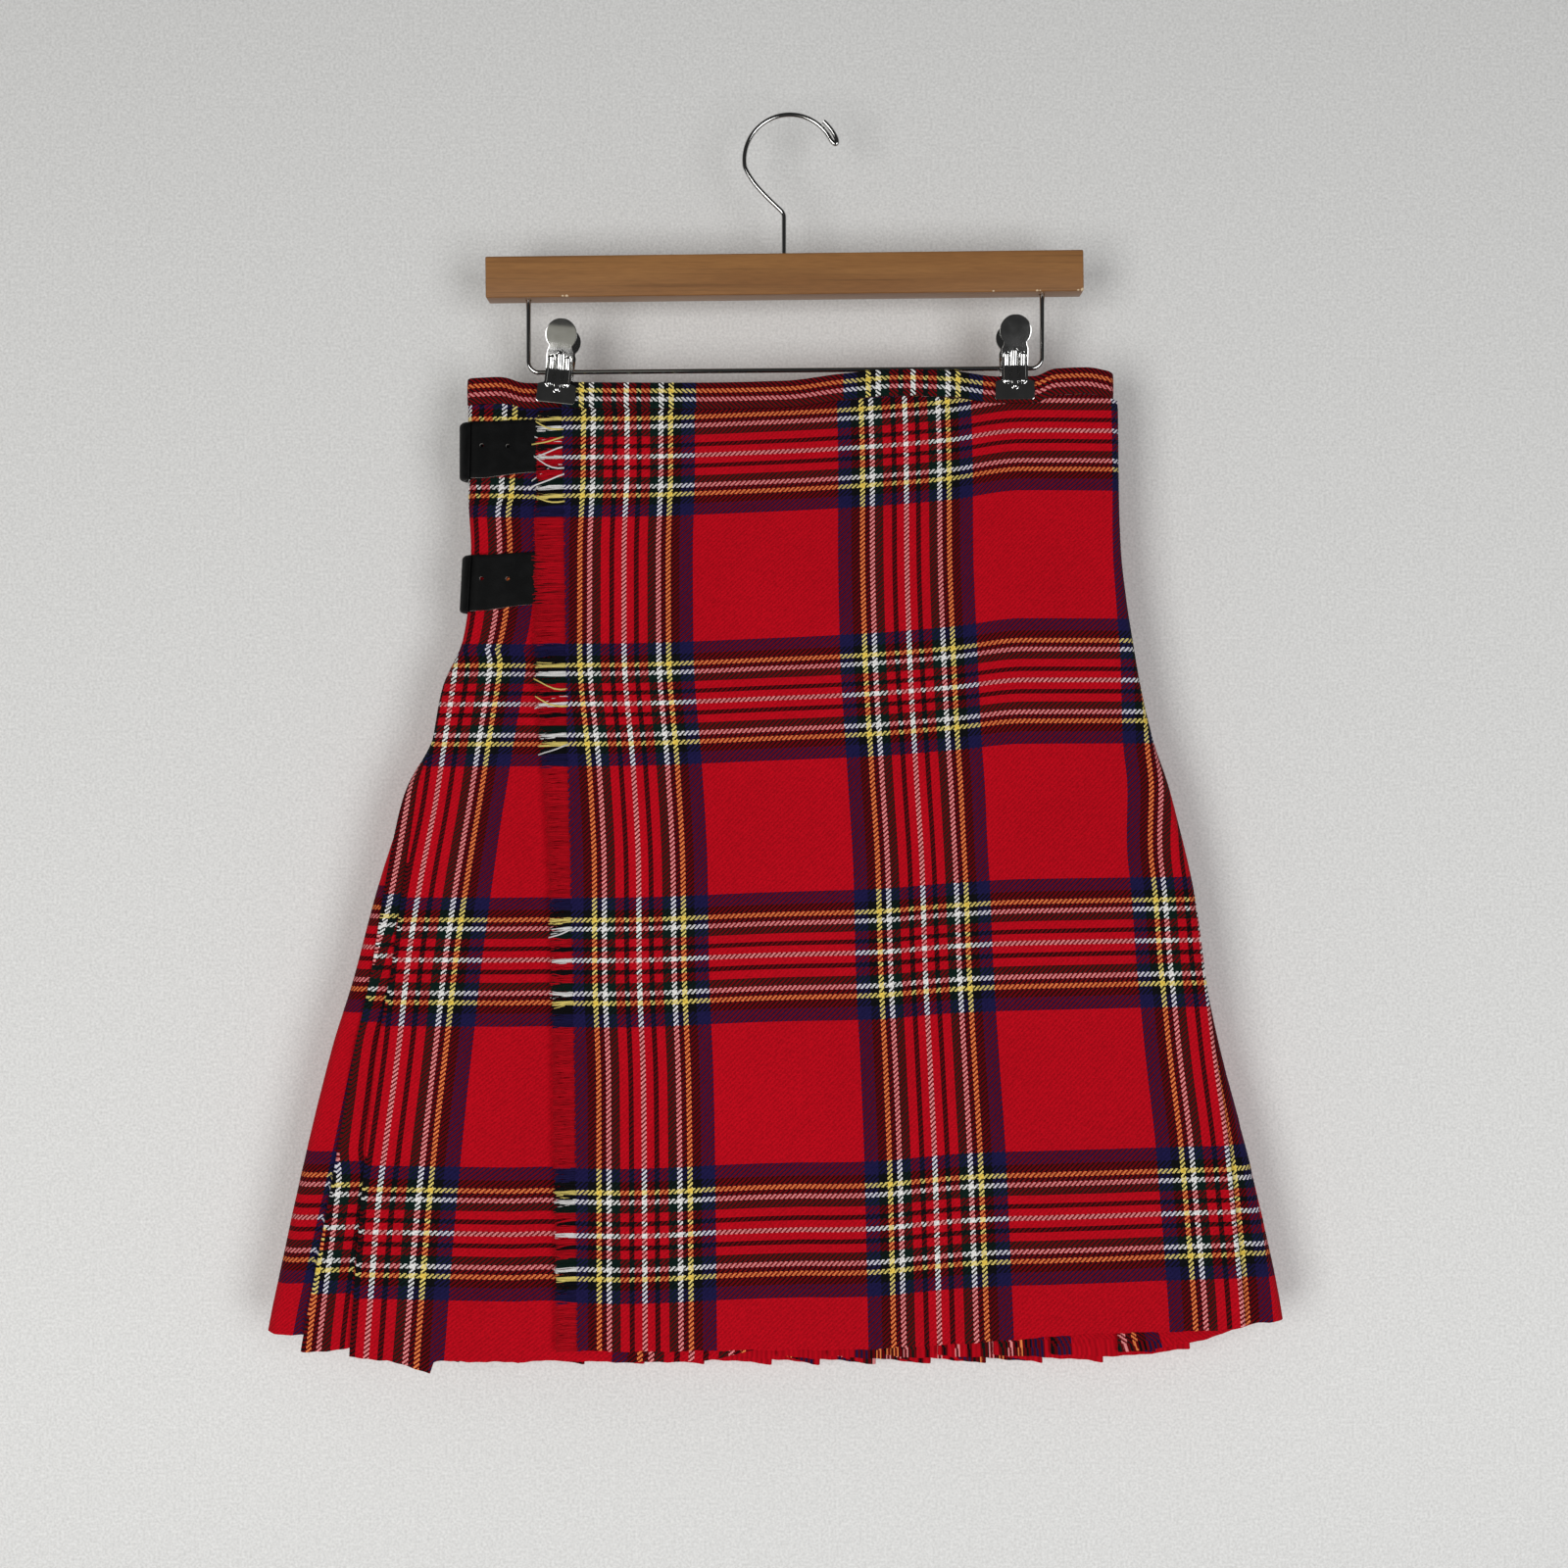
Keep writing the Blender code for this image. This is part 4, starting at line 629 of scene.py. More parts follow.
# Columns: row, X of the under apron's white line, width of a thread there
UNDER_THREADS = np.array((
    (0.000, -193.6, 0.76), (0.165, -195.5, 0.76), (0.286, -202.2, 0.76), (0.370, -209.1, 0.75),
    (0.430, -214.2, 0.75), (0.510, -223.0, 0.79), (0.590, -230.2, 0.81), (0.680, -235.8, 0.81),
    (0.780, -243.6, 0.84), (0.840, -248.0, 0.86), (1.000, -255.2, 0.86),
))
# Thread number at the cloth's turn on the right, and at the fold before the last one
RIGHT_THREAD = 30.0
NEXT_TO_LAST = 15
NEXT_TO_LAST_THREAD = -101.0
# The last pleat isn't folded along a thread.  Columns: row, thread number at its fold
LAST_FOLD_THREADS = np.array((
    (0.000, -36.0), (0.370, -34.0), (0.530, -32.0), (0.600, -26.0), (0.675, -22.5), (0.735, -24.0),
    (0.790, -25.5), (0.820, -31.0), (0.860, -33.5), (0.920, -36.0), (1.000, -40.0),
))
# Columns: Z of the white lines that run across, thread number there
LINES_DOWN = np.array((
    (-764.0, 807.0), (-680.2, 690.0), (-515.7, 460.0), (-361.0, 230.0), (-210.8, 0.0), (-150.0, -93.0),
))
# Columns: X, how far the lines that run across rise there, at the waist and at the hem
LINES_RISE = np.array((
    (-325.0, 0.0, -1.2), (-110.0, 0.0, -0.6), (-2.0, 3.4, 3.2), (54.0, 6.6, 4.6),
    (100.0, 10.6, 7.8), (143.0, 16.4, 8.9), (240.0, 16.0, 10.4), (310.0, 16.0, 11.0),
))
# The lines on the last two pleats start higher than the under apron's: at the waist, at the hem
LAST_PLEAT_RISE = (1.5, 2.4)
OTHER_RISES = (4.0, 8.0)
print("lines that run across:", len(LINES_DOWN))


# %% Thread numbers down the cloth
def threads_down(x, z, row, pleat_rise=(0.0, 0.0)):
    """Thread number of a place, counted down the cloth."""
    share = smooth_step(row, 0.1, 0.7)
    rise = eased(LINES_RISE, x, 1) * (1.0 - share) + eased(LINES_RISE, x, 2) * share
    rise = rise + pleat_rise[0] * (1.0 - share) + pleat_rise[1] * share
    return np.interp(z - rise, LINES_DOWN[:, 0], LINES_DOWN[:, 1])


def rises(loop, distance, x):
    """How far the lines rise on each pleat of the left end: at the waist and at the hem."""
    waist = np.zeros_like(distance)
    hem = np.zeros_like(distance)
    on_pleats = (distance < loop.edge(LAST_EDGE) - loop.pitch) & (x < 0.0) & (distance > 0.0)
    on_last = distance > loop.edge(LAST_EDGE - 1) - loop.pitch
    toward_left = smooth_step(-x, 0.0, 180.0)
    for chosen, rise in (
        (on_pleats & on_last, LAST_PLEAT_RISE), (on_pleats & ~on_last, OTHER_RISES),
    ):
        waist[chosen] = rise[0] * toward_left[chosen]
        hem[chosen] = rise[1] * toward_left[chosen]
    return waist, hem


print("thread down at the hip:", float(threads_down(0.0, height_of(hip.row), hip.row)))

# %% Thread numbers at the folds
hip_edges = [hip.edge(index) for index in range(LAST_EDGE)]
EDGE_THREADS = [
    NEXT_TO_LAST_THREAD - (hip_edges[NEXT_TO_LAST] - edge) / THREAD for edge in hip_edges
]


def edge_thread(index, row):
    """Thread number at a fold of the pleats."""
    if index == LAST_EDGE - 1:
        return float(eased(LAST_FOLD_THREADS, row, 1))
    return EDGE_THREADS[index]


print("thread at the first back fold:", round(EDGE_THREADS[0]))

# %% [markdown]
# A path is a stack of short legs: along a face, round a folded edge, back behind it and in to
# the hidden fold.  Each leg gives the distance, depth, hem lift and thread number of its
# points.  The folded edges are half circles, so no edge of the cloth looks creased flat.

# %% Legs of a path
PLEAT_SAG = 4.5
TUCK_LIFT = 2.5
FOLD_TIP = 0.68
FACE_CURVE = 1.3
TUCK_POINTS = 7
FACE_POINTS = 15
TURN_ANGLES = np.linspace(0.0, math.pi, 7)[1:-1]
# Extra drop of the last pleat's hem and of the under apron's, in mm
EXTRA_DROPS = {LAST_EDGE - 1: 5.0, LAST_EDGE: -PLEAT_SAG}


def sag(index):
    """How far a pleat's folded edge hangs below its neighbour, in mm."""
    return -PLEAT_SAG - EXTRA_DROPS.get(index, 0.0)


def leg(count, distance, depth, lift, thread):
    """Points from one place to another, the last one left out."""
    share = np.arange(count) / count
    ends = (distance, depth, lift, thread)
    return np.column_stack([start + (end - start) * share for start, end in ends])


def half_turn(loop, distance, side, near, far, lift, thread):
    """A folded edge: a half circle from one layer's depth to the other's."""
    bulge = side * FOLD_TIP * loop.pitch * np.sin(TURN_ANGLES)
    depth = (near + far) / 2 + (near - far) / 2 * np.cos(TURN_ANGLES)
    steady = np.ones_like(TURN_ANGLES)
    return np.column_stack([distance + bulge, depth, lift * steady, thread * steady])


print("half turn, in points:", len(TURN_ANGLES))


# %% Cloth behind a fold and on its face
def layers(loop, index):
    """Edge, tuck, slope and layer pitch of a fold."""
    edge = loop.edge(index)
    slope = 0.0
    if index < LAST_EDGE:
        slope = 2.0 * loop.pitch / (loop.edge(index + 1) - edge)
    return edge, loop.tuck(index), slope, loop.pitch


def goes_in(loop, index, thread):
    """The layer that goes in behind an edge, and its hidden fold."""
    edge, tuck, slope, pitch = layers(loop, index)
    far = 2.0 * pitch + slope * tuck
    inward = leg(TUCK_POINTS, (edge, edge + tuck), (2.0 * pitch, far), (0.0, TUCK_LIFT),
                 (thread, thread + tuck / THREAD))
    near = pitch + slope * tuck
    turn = half_turn(loop, edge + tuck, 1.0, far, near, TUCK_LIFT, thread + tuck / THREAD)
    return np.vstack([inward, turn])


def comes_out(loop, index, thread):
    """The layer that comes back to the edge, and the folded edge itself."""
    edge, tuck, slope, pitch = layers(loop, index)
    outward = leg(TUCK_POINTS, (edge + tuck, edge), (pitch + slope * tuck, pitch),
                  (TUCK_LIFT, sag(index)), (thread - tuck / THREAD, thread))
    return np.vstack([outward, half_turn(loop, edge, -1.0, pitch, 0.0, sag(index), thread)])


def pleat_face(loop, index, thread):
    """A pleat's visible face, sinking below the next edge."""
    edge = loop.edge(index)
    reveal = loop.edge(index + 1) - edge
    end_lift = -EXTRA_DROPS.get(index, 0.0)
    points = leg(FACE_POINTS, (edge, edge + reveal), (0.0, 0.0), (sag(index), end_lift),
                 (thread, thread + reveal / THREAD))
    share = np.arange(FACE_POINTS) / FACE_POINTS
    points[:, 1] = 2.0 * loop.pitch * share ** FACE_CURVE
    return points


print("tuck at the middle fold:", round(hip.tuck(8), 1), "mm")

# %% Where the hidden cloth lies
APRON_TUCK = 52.0
# The cloth below the apron's fold starts this far past it, and lies this many layers deep
RIGHT_START = 1.5
RIGHT_LAYERS = 2.25
# Shares of the right side over which it comes up to the surface, and goes below the first fold
RIGHT_RISE = (0.0, 0.3)
RIGHT_SINK = (0.6, 1.0)
# How deep the under apron goes below the apron, and how far out from the fringe it slopes
UNDER_DEPTH = 3.9
UNDER_RAMP = (41.0, 19.0)
HIDDEN_POINTS = 18
RIGHT_POINTS = 30
print("the apron turns back by", APRON_TUCK, "mm")


# %% Path of the pleats
def pleats(first, last):
    """The path of the pleats from one fold up to the tuck behind another."""
    def path(loop):
        thread, pieces = right_side(loop) if first == 0 else (None, [])
        for index in range(first, last):
            if thread is not None:
                pieces.append(goes_in(loop, index, thread))
            start = edge_thread(index, loop.row)
            pieces.append(comes_out(loop, index, start))
            pieces.append(pleat_face(loop, index, start))
            thread = start + (loop.edge(index + 1) - loop.edge(index)) / THREAD
        pieces.append(goes_in(loop, last, thread)[:TUCK_POINTS])
        return np.vstack(pieces)
    return path


def right_side(loop):
    """From below the apron's fold, round the right end, to the first pleat."""
    fold = loop.fold()
    start = fold + RIGHT_START
    deep = RIGHT_LAYERS * loop.pitch
    first = loop.edge(0)
    start_thread = RIGHT_THREAD + RIGHT_START / THREAD
    thread = RIGHT_THREAD + (first - fold) / THREAD
    hidden = leg(HIDDEN_POINTS, (fold - APRON_TUCK, start), (deep, deep), (0.0, 0.0),
                 (RIGHT_THREAD - APRON_TUCK / THREAD, start_thread))
    shown = leg(RIGHT_POINTS, (start, first), (0.0, 0.0), (0.0, 0.0), (start_thread, thread))
    share = np.arange(RIGHT_POINTS) / RIGHT_POINTS
    shown[:, 1] = deep * (1.0 - smooth_step(share, *RIGHT_RISE) + smooth_step(share, *RIGHT_SINK))
    return thread, [hidden, shown]


print("points across the back pleats:", len(pleats(4, 12)(hip)))


# %% Paths of the two aprons
def under_apron_path(loop):
    """The under apron's tuck and edge, then the panel that goes below the outer apron."""
    row = loop.row
    edge = loop.edge(LAST_EDGE)
    line = loop.front_distance(float(eased(UNDER_THREADS, row, 1)))
    width = float(eased(UNDER_THREADS, row, 2))
    root = float(eased(APRON_PLACES, row, 2))
    ramp = [loop.front_distance(root - reach) for reach in UNDER_RAMP]
    end = loop.front_distance(float(eased(APRON_PLACES, row, 3)))
    panel = np.concatenate([
        np.linspace(edge, ramp[0], 44, endpoint=False), np.linspace(*ramp, 12, endpoint=False),
        np.linspace(ramp[1], end, 60),
    ])
    depth = UNDER_DEPTH * smooth_step(panel, *ramp)
    steady = np.zeros_like(panel)
    shown = np.column_stack([panel, depth, steady, (panel - line) / width])
    return np.vstack([comes_out(loop, LAST_EDGE, (edge - line) / width), shown])


def outer_apron_path(loop):
    """The outer apron from the fringe's root, its folded edge and the layer that turns back."""
    row = loop.row
    root, first, second = [
        loop.front_distance(float(eased(table, row, index)))
        for table, index in ((APRON_PLACES, 2), (APRON_THREADS, 1), (APRON_THREADS, 2))
    ]
    fold = loop.total + loop.fold()
    at_fold = float(eased(APRON_THREADS, row, 3))
    root_thread = -SETT * (first - root) / (second - first)
    distance = np.linspace(root, fold, 150)
    thread = np.interp(distance, (root, first, second, fold), (root_thread, 0.0, SETT, at_fold))
    steady = np.zeros_like(distance)
    shown = np.column_stack([distance, steady, steady, thread])[:-1]
    pitch = loop.pitch
    turn = half_turn(loop, fold, 1.0, 0.0, pitch, 0.0, at_fold)
    back = leg(HIDDEN_POINTS, (fold, fold - APRON_TUCK), (pitch, pitch), (0.0, 0.0),
               (at_fold, at_fold + APRON_TUCK / THREAD))
    return np.vstack([shown, turn, back])


print("points across the apron:", len(outer_apron_path(hip)))

# %% [markdown]
# A sheet starts as a grid primitive.  Its rows are laid on the paths and its UV map is set in
# threads.  Then Solidify gives the cloth its thickness, and is applied.

# %% Lay a grid on its paths
CLOTH_ROWS = 112
LOOPS = [Loop(row) for row in np.linspace(0.0, 1.0, CLOTH_ROWS)]


def deselect():
    for item in bpy.context.selected_objects:
        item.select_set(False)


def only(item):
    """Make an object the only selected one, and the active one."""
    deselect()
    item.select_set(True)
    bpy.context.view_layer.objects.active = item


def apply_modifiers(item):
    only(item)
    for modifier in list(item.modifiers):
        bpy.ops.object.modifier_apply(modifier=modifier.name)


def laid_grid(name, places, threads=None):
    """A grid primitive with its points moved to rows of places, and a UV map in threads."""
    row_count, column_count = places.shape[:2]
    if threads is None:
        threads = np.zeros((row_count, column_count, 2))
    deselect()
    bpy.ops.mesh.primitive_grid_add(
        x_subdivisions=column_count - 1, y_subdivisions=row_count - 1, size=2.0
    )
    item = bpy.context.object
    item.name = name
    mesh = item.data
    mesh.name = name
    flat = np.empty(len(mesh.vertices) * 3)
    mesh.vertices.foreach_get("co", flat)
    flat = flat.reshape(-1, 3)
    column = np.rint((flat[:, 0] + 1.0) / 2.0 * (column_count - 1)).astype(int)
    row = row_count - 1 - np.rint((flat[:, 1] + 1.0) / 2.0 * (row_count - 1)).astype(int)
    mesh.vertices.foreach_set("co", (places[row, column] * MM).ravel())
    corners = np.empty(len(mesh.loops), dtype=np.int32)
    mesh.loops.foreach_get("vertex_index", corners)
    while mesh.uv_layers:
        mesh.uv_layers.remove(mesh.uv_layers[0])
    layer = mesh.uv_layers.new(name="threads")
    layer.uv.foreach_set("vector", threads[row, column][corners].ravel())
    mesh.update()
    return item


print("rows in a length of cloth:", CLOTH_ROWS)


# %% Thickness, rounded edges and shading
def add_wall(item, wall, rim_slot=0):
    """Half of a wall's thickness to each side of a sheet."""
    shell = item.modifiers.new("Wall", "SOLIDIFY")
    shell.thickness = wall * MM
    shell.offset = 0.0
    shell.material_offset_rim = rim_slot


def round_edges(item, width, segments=2, sharp=60.0):
    """Bevel the edges that turn by more than an angle in degrees."""
    edge = item.modifiers.new("Rounded edge", "BEVEL")
    edge.width = width * MM
    edge.segments = segments
    edge.limit_method = "ANGLE"
    edge.angle_limit = math.radians(sharp)
    return edge


def finish_mesh(item, material, sharp=40.0):
    """Apply the modifiers, shade smooth up to an angle in degrees, and give the material."""
    apply_modifiers(item)
    item.data.shade_smooth()
    item.data.set_sharp_from_angle(angle=math.radians(sharp))
    if material:
        item.data.materials.append(material)


def stand_for(piece, node):
    """Fix a piece to the kilt's one body, in place of a CAD node."""
    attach(piece, "root")
    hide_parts(node)


print("finishing helpers ready")


# %% Heights of the waist and the hems
def waist_height(x, y):
    """The waistband's top edge: the front's own curve, blended into the back's."""
    front = eased(WAIST, x, 1)
    back = eased(BACK_WAIST, x, 1)
    return front + (back - front) * smooth_step(y, -BAND_DEPTH, 0.0)


def apron_hem(share, x):
    return eased(APRON_HEM, x, 1)


def under_hem(share, x):
    return np.interp(x, UNDER_HEM[:, 0], UNDER_HEM[:, 1])


def pleat_hem(share, x):
    return np.where(share < 0.0, eased(APRON_HEM, x, 1), eased(PLEAT_HEM, share, 1))


def hem_ravel(distance):
    """The hem's small unevenness, in mm."""
    return 0.3 * np.sin(distance * 0.21) + 0.2 * np.sin(distance * 0.57 + 1.0)


print("waist at the middle:", float(waist_height(0.0, -5.0)), "mm")

# %% Rows of a length of cloth
# Depths toward the viewer over which the creases come in, and their start below the waistband
FRONT_DEPTHS = (1.0, 4.0)
CREASE_START = 0.02


def cloth_rows(path, hem):
    """Places and threads of a length of cloth, row by row."""
    places = []
    threads = []
    for loop in LOOPS:
        distance, depth, lift, thread = path(loop).T
        plan, inward = loop.place(distance, depth)
        x, y = plan.T
        top = waist_height(x, y) - BAND_HEIGHT - SEAM
        bottom = hem(distance / loop.left_end, x) + lift + hem_ravel(distance)
        z = blended_height(loop.row, top, bottom)
        on_front = smooth_step(-y, *FRONT_DEPTHS) * smooth_step(loop.row, 0.0, CREASE_START)
        crease = creases(x, z) * on_front
        x = x - inward[:, 0] * crease
        y = y - inward[:, 1] * crease
        places.append(np.column_stack([x, y, z]))
        down = threads_down(x, z, loop.row, rises(loop, distance, x))
        threads.append(np.column_stack([thread, down]))
    return np.array(places), np.array(threads)


def flat_size(places):
    """Width and length of a sheet before it is folded, in metres."""
    across = np.linalg.norm(np.diff(places, axis=1), axis=2).sum(axis=1).mean()
    drop = np.linalg.norm(np.diff(places, axis=0), axis=2).sum(axis=0).mean()
    return across * MM, drop * MM


print("loops:", len(LOOPS))

# %% Aprons and pleats
SHEETS = {
    "outer_apron": (outer_apron_path, apron_hem),
    "under_apron": (under_apron_path, under_hem),
    "pleats_right": (pleats(0, 4), pleat_hem),
    "pleats_back": (pleats(4, 12), pleat_hem),
    "pleats_left": (pleats(12, LAST_EDGE), pleat_hem),
}
for node, (path, hem) in SHEETS.items():
    places, threads = cloth_rows(path, hem)
    piece = laid_grid(node + "_cloth", places, threads)
    add_wall(piece, CLOTH)
    finish_mesh(piece, tartan, 50.0)
    width, length = flat_size(places)
    stand_for(piece, node)
    print(node, "flat", round(width, 3), "by", round(length, 3), "m")

# %% [markdown]
# The waistband is a narrow strip of the same cloth, folded over the top edge and sewn down.  It
# is cut on its own, so its lines don't meet the cloth's and its ribs lean the other way.

# %% Plan of the waistband
BAND_WALL = 1.8
# Y of the band's hidden end, below the front
UNDER_Y = 0.5
BAND_ROWS = 9
# Thread number at the band's top edge, height of a thread, distance at which its count is 0
BAND_LINE_THREAD = -44.0
BAND_THREAD = 0.64
BAND_START = 39.5
# Threads gained over the back, so that the left front shows no crossing lines
BACK_GAIN = 63.0
BAND_SWELL = 0.25
FRONT_POINTS = 130
TURN_POINTS = 10
BACK_POINTS = 120


def band_plan():
    """Plan of the band: front, right end, back, left end, and in below the front."""
    left = OUTLINE[0, 1] + BAND_WALL / 2
    right = OUTLINE[0, 2] - BAND_WALL / 2
    start = APRON_PLACES[0, 2]
    ramp_start, ramp_end = start - UNDER_RAMP[0], start - UNDER_RAMP[1]
    turn = np.radians(np.linspace(-90.0, 90.0, TURN_POINTS + 2)[1:-1])
    ramp = np.linspace(ramp_start, ramp_end, 10, endpoint=False)
    hidden = np.linspace(ramp_end, APRON_PLACES[0, 3], 40)
    front = np.linspace(start, right - BAND_DEPTH, FRONT_POINTS)
    back = np.linspace(right - BAND_DEPTH, left + BAND_DEPTH, BACK_POINTS)
    tail = np.linspace(left + BAND_DEPTH, ramp_start, 12, endpoint=False)
    sink = BAND_DEPTH - (BAND_DEPTH + UNDER_Y) * smooth_step(ramp, ramp_start, ramp_end)
    parts = (
        (front, np.full_like(front, -BAND_DEPTH)),
        (right - BAND_DEPTH + BAND_DEPTH * np.cos(turn), BAND_DEPTH * np.sin(turn)),
        (back, np.full_like(back, BAND_DEPTH)),
        (left + BAND_DEPTH - BAND_DEPTH * np.cos(turn), -BAND_DEPTH * np.sin(turn)),
        (tail, np.full_like(tail, -BAND_DEPTH)),
        (ramp, -sink),
        (hidden, np.full_like(hidden, UNDER_Y)),
    )
    return np.vstack([np.column_stack(part) for part in parts])


plan = band_plan()
along = lengths_along(plan)
print("waistband:", round(along[-1]), "mm long")

# %% Waistband
outward = np.gradient(plan, axis=0)
outward = np.column_stack([outward[:, 1], -outward[:, 0]])
outward = outward / np.hypot(*outward.T)[:, None]
back_first = FRONT_POINTS + TURN_POINTS
BACK_START, BACK_END = along[[back_first + 2, back_first + BACK_POINTS]]
band_places = []
band_threads = []
for share in np.linspace(0.0, 1.0, BAND_ROWS):
    swell = BAND_SWELL * math.sin(math.pi * share)
    x, y = (plan + outward * swell).T
    top = waist_height(*plan.T)
    band_places.append(np.column_stack([x, y, top - BAND_HEIGHT * share]))
    gained = BACK_GAIN * smooth_step(along, BACK_START, BACK_END)
    count_across = (along - BAND_START) / THREAD + gained
    count_down = np.full_like(along, BAND_LINE_THREAD + BAND_HEIGHT * share / BAND_THREAD)
    band_threads.append(np.column_stack([count_across, count_down]))
band_places = np.array(band_places)
waistband = laid_grid("waistband_cloth", band_places, np.array(band_threads))
add_wall(waistband, BAND_WALL)
round_edges(waistband, 0.5, 3)
finish_mesh(waistband, band_tartan, 180.0)
stand_for(waistband, "waistband")
print("waistband:", flat_size(band_places))

# %% [markdown]
# The apron's edge is drawn out into a fringe: the warp is pulled away and the weft yarns are
# left standing.  A strand is a thin tapered tube of a few faces, laid by a loop, and it takes
# its colour from the weft thread that it is.  Neighbours lean together in small tufts.

# %% Fringe yarn
fringe_yarn, tree, shader = new_material(
    "Fringe yarn", Roughness=0.95, Sheen_Weight=0.02, Specular_IOR_Level=0.06
)
place = add_node(tree, "ShaderNodeUVMap", uv_map="threads")
parts = add_node(tree, "ShaderNodeSeparateXYZ", {0: place.outputs[0]})
yarn, _ = yarn_ramp(tree, parts.outputs[1])
own_tone = mix_colours(tree, parts.outputs[0], (0.62, 0.62, 0.62, 1.0), (1.12, 1.12, 1.12, 1.0))
yarn = mix_colours(tree, 1.0, yarn, own_tone, kind="MULTIPLY")
fibre = noise(tree, 900.0)
tone = lighten(tree, map_range(tree, fibre, low=0.85, high=1.15), yarn)
finish_shader(tree, shader, tone, None, fibre, 0.4, 0.0002)
print("fringe material ready")

# %% Fringe strands
STRANDS = 1650
STRAND_POINTS = 6
STRAND_SIDES = 3
STRAND_RADIUS = 0.40
# How far inside the cloth's edge a strand starts
ROOT_INSET = 1.0
# Strands in a tuft, how much the outer ones lean in, and how unevenly all lean and end
TUFT = 7
TUFT_LEAN = -0.256
MEAN_LEAN = -0.5
LEAN_SPREAD = 0.7
LENGTH_SPREAD = 0.05
LOOSE_THICKNESS = 1.5
# Columns: height, length of a strand
FRINGE_LENGTHS = np.array((
    (-760.0, 13.0), (-460.0, 13.5), (-380.0, 17.0), (-330.0, 19.5), (-270.0, 18.5),
    (-230.0, 17.0), (-171.0, 15.5),
))
# Columns: height, lean up or down, curl, length share, thread number of the loose yarns
LOOSE_YARNS = (
    (-185.0, 5.0, 2.2, 1.05, 36.0), (-190.0, -5.0, 2.6, 1.2, 36.0), (-194.0, 5.0, -2.4, 1.1, 28.0),
    (-197.0, -6.0, 2.0, 1.1, 28.0), (-209.0, -9.0, -2.8, 1.2, 0.5), (-212.0, 7.0, 2.6, 1.1, 0.5),
    (-216.0, -10.0, 3.0, 1.3, 0.5), (-219.0, -4.0, -2.6, 1.2, 28.0), (-236.0, 3.0, 2.6, 1.1, 36.0),
    (-352.0, 5.0, 3.2, 1.1, 36.0), (-357.0, -6.0, -3.0, 1.1, 28.0), (-363.0, 6.0, 2.4, 1.1, 36.0),
    (-386.0, -7.0, 2.8, 1.1, 0.5), (-498.0, -5.0, 2.4, 1.1, 28.0), (-662.0, 4.0, -2.4, 1.0, 36.0),
)
chance = np.random.default_rng(7)
print("loose yarns:", len(LOOSE_YARNS))


# %% Shape of a strand
def strand_root(row):
    """Where a strand leaves the cloth, and the thread that it is."""
    loop = LOOPS[int(round(row * (CLOTH_ROWS - 1)))]
    root_x = float(eased(APRON_PLACES, row, 2)) + ROOT_INSET
    distance = np.array([loop.front_distance(root_x)])
    plan_place, inward = loop.place(distance, np.array([0.0]))
    x, y = plan_place[0]
    top = float(waist_height(x, y)) - BAND_HEIGHT - SEAM
    z = blended_height(row, top, float(apron_hem(0.0, np.array(x))))
    return np.array((x, y, z)), float(threads_down(np.array(x), z, row))


def strand_line(root, length, lean, curl):
    """Points of a strand: out from the edge, sagging and curling a little."""
    share = np.linspace(0.0, 1.0, STRAND_POINTS)
    x = root[0] - length * share
    y = root[1] - 0.25 - 0.3 * share * curl - 0.12 * np.sin(share * 5.0 + curl * 3.0)
    z = root[2] + lean * share ** 1.6 + 0.35 * curl * np.sin(share * 4.4 + curl)
    return np.column_stack([x, y, z])


def strand_tube(line, radius):
    """Corners and faces of a thin tapered tube along a line."""
    turn = 2.0 * math.pi * np.arange(STRAND_SIDES) / STRAND_SIDES
    corners = []
    for share, point in zip(np.linspace(1.0, 0.8, len(line)), line):
        ring = np.column_stack([0.0 * turn, np.cos(turn), np.sin(turn)]) * radius * share
        corners.append(point + ring)
    faces = []
    for step in range(len(line) - 1):
        for side in range(STRAND_SIDES):
            after = (side + 1) % STRAND_SIDES
            low = step * STRAND_SIDES
            high = low + STRAND_SIDES
            faces.append((low + side, high + side, high + after, low + after))
    faces.append(tuple(range(STRAND_SIDES)))
    last = (len(line) - 1) * STRAND_SIDES
    faces.append(tuple(last + side for side in reversed(range(STRAND_SIDES))))
    return np.vstack(corners), faces


print("first strand starts at", strand_root(0.0)[0].round(1))

# %% Lay the fringe
corners = []
faces = []
strand_threads = []
strand_tones = []
placed = []
for index in range(STRANDS):
    row = (index + 0.5) / STRANDS
    root, thread = strand_root(row)
    place_in_tuft = index % TUFT - (TUFT - 1) / 2
    spread = 1.0 + LENGTH_SPREAD * chance.normal()
    length = float(eased(FRINGE_LENGTHS, root[2], 1)) * spread
    lean = place_in_tuft * TUFT_LEAN + LEAN_SPREAD * chance.normal() + MEAN_LEAN
    placed.append((root, thread, length, lean, chance.uniform(-1.0, 1.0), STRAND_RADIUS))
for height, lean, curl, share, thread in LOOSE_YARNS:
    root, _ = strand_root(row_of(height))
    length = float(eased(FRINGE_LENGTHS, root[2], 1)) * share
    placed.append((root, thread, length, lean, curl, LOOSE_THICKNESS * STRAND_RADIUS))
for root, thread, length, lean, curl, radius in placed:
    tube, tube_faces = strand_tube(strand_line(root, length, lean, curl), radius)
    start = len(strand_threads)
    faces += [tuple(start + corner for corner in face) for face in tube_faces]
    corners.append(tube)
    strand_threads += [thread] * len(tube)
    strand_tones += [chance.uniform(0.15, 1.0)] * len(tube)
mesh = bpy.data.meshes.new("apron_fringe_yarn")
mesh.from_pydata((np.vstack(corners) * MM).tolist(), [], faces)
layer = mesh.uv_layers.new(name="threads")
corner_vertices = np.empty(len(mesh.loops), dtype=np.int32)
mesh.loops.foreach_get("vertex_index", corner_vertices)
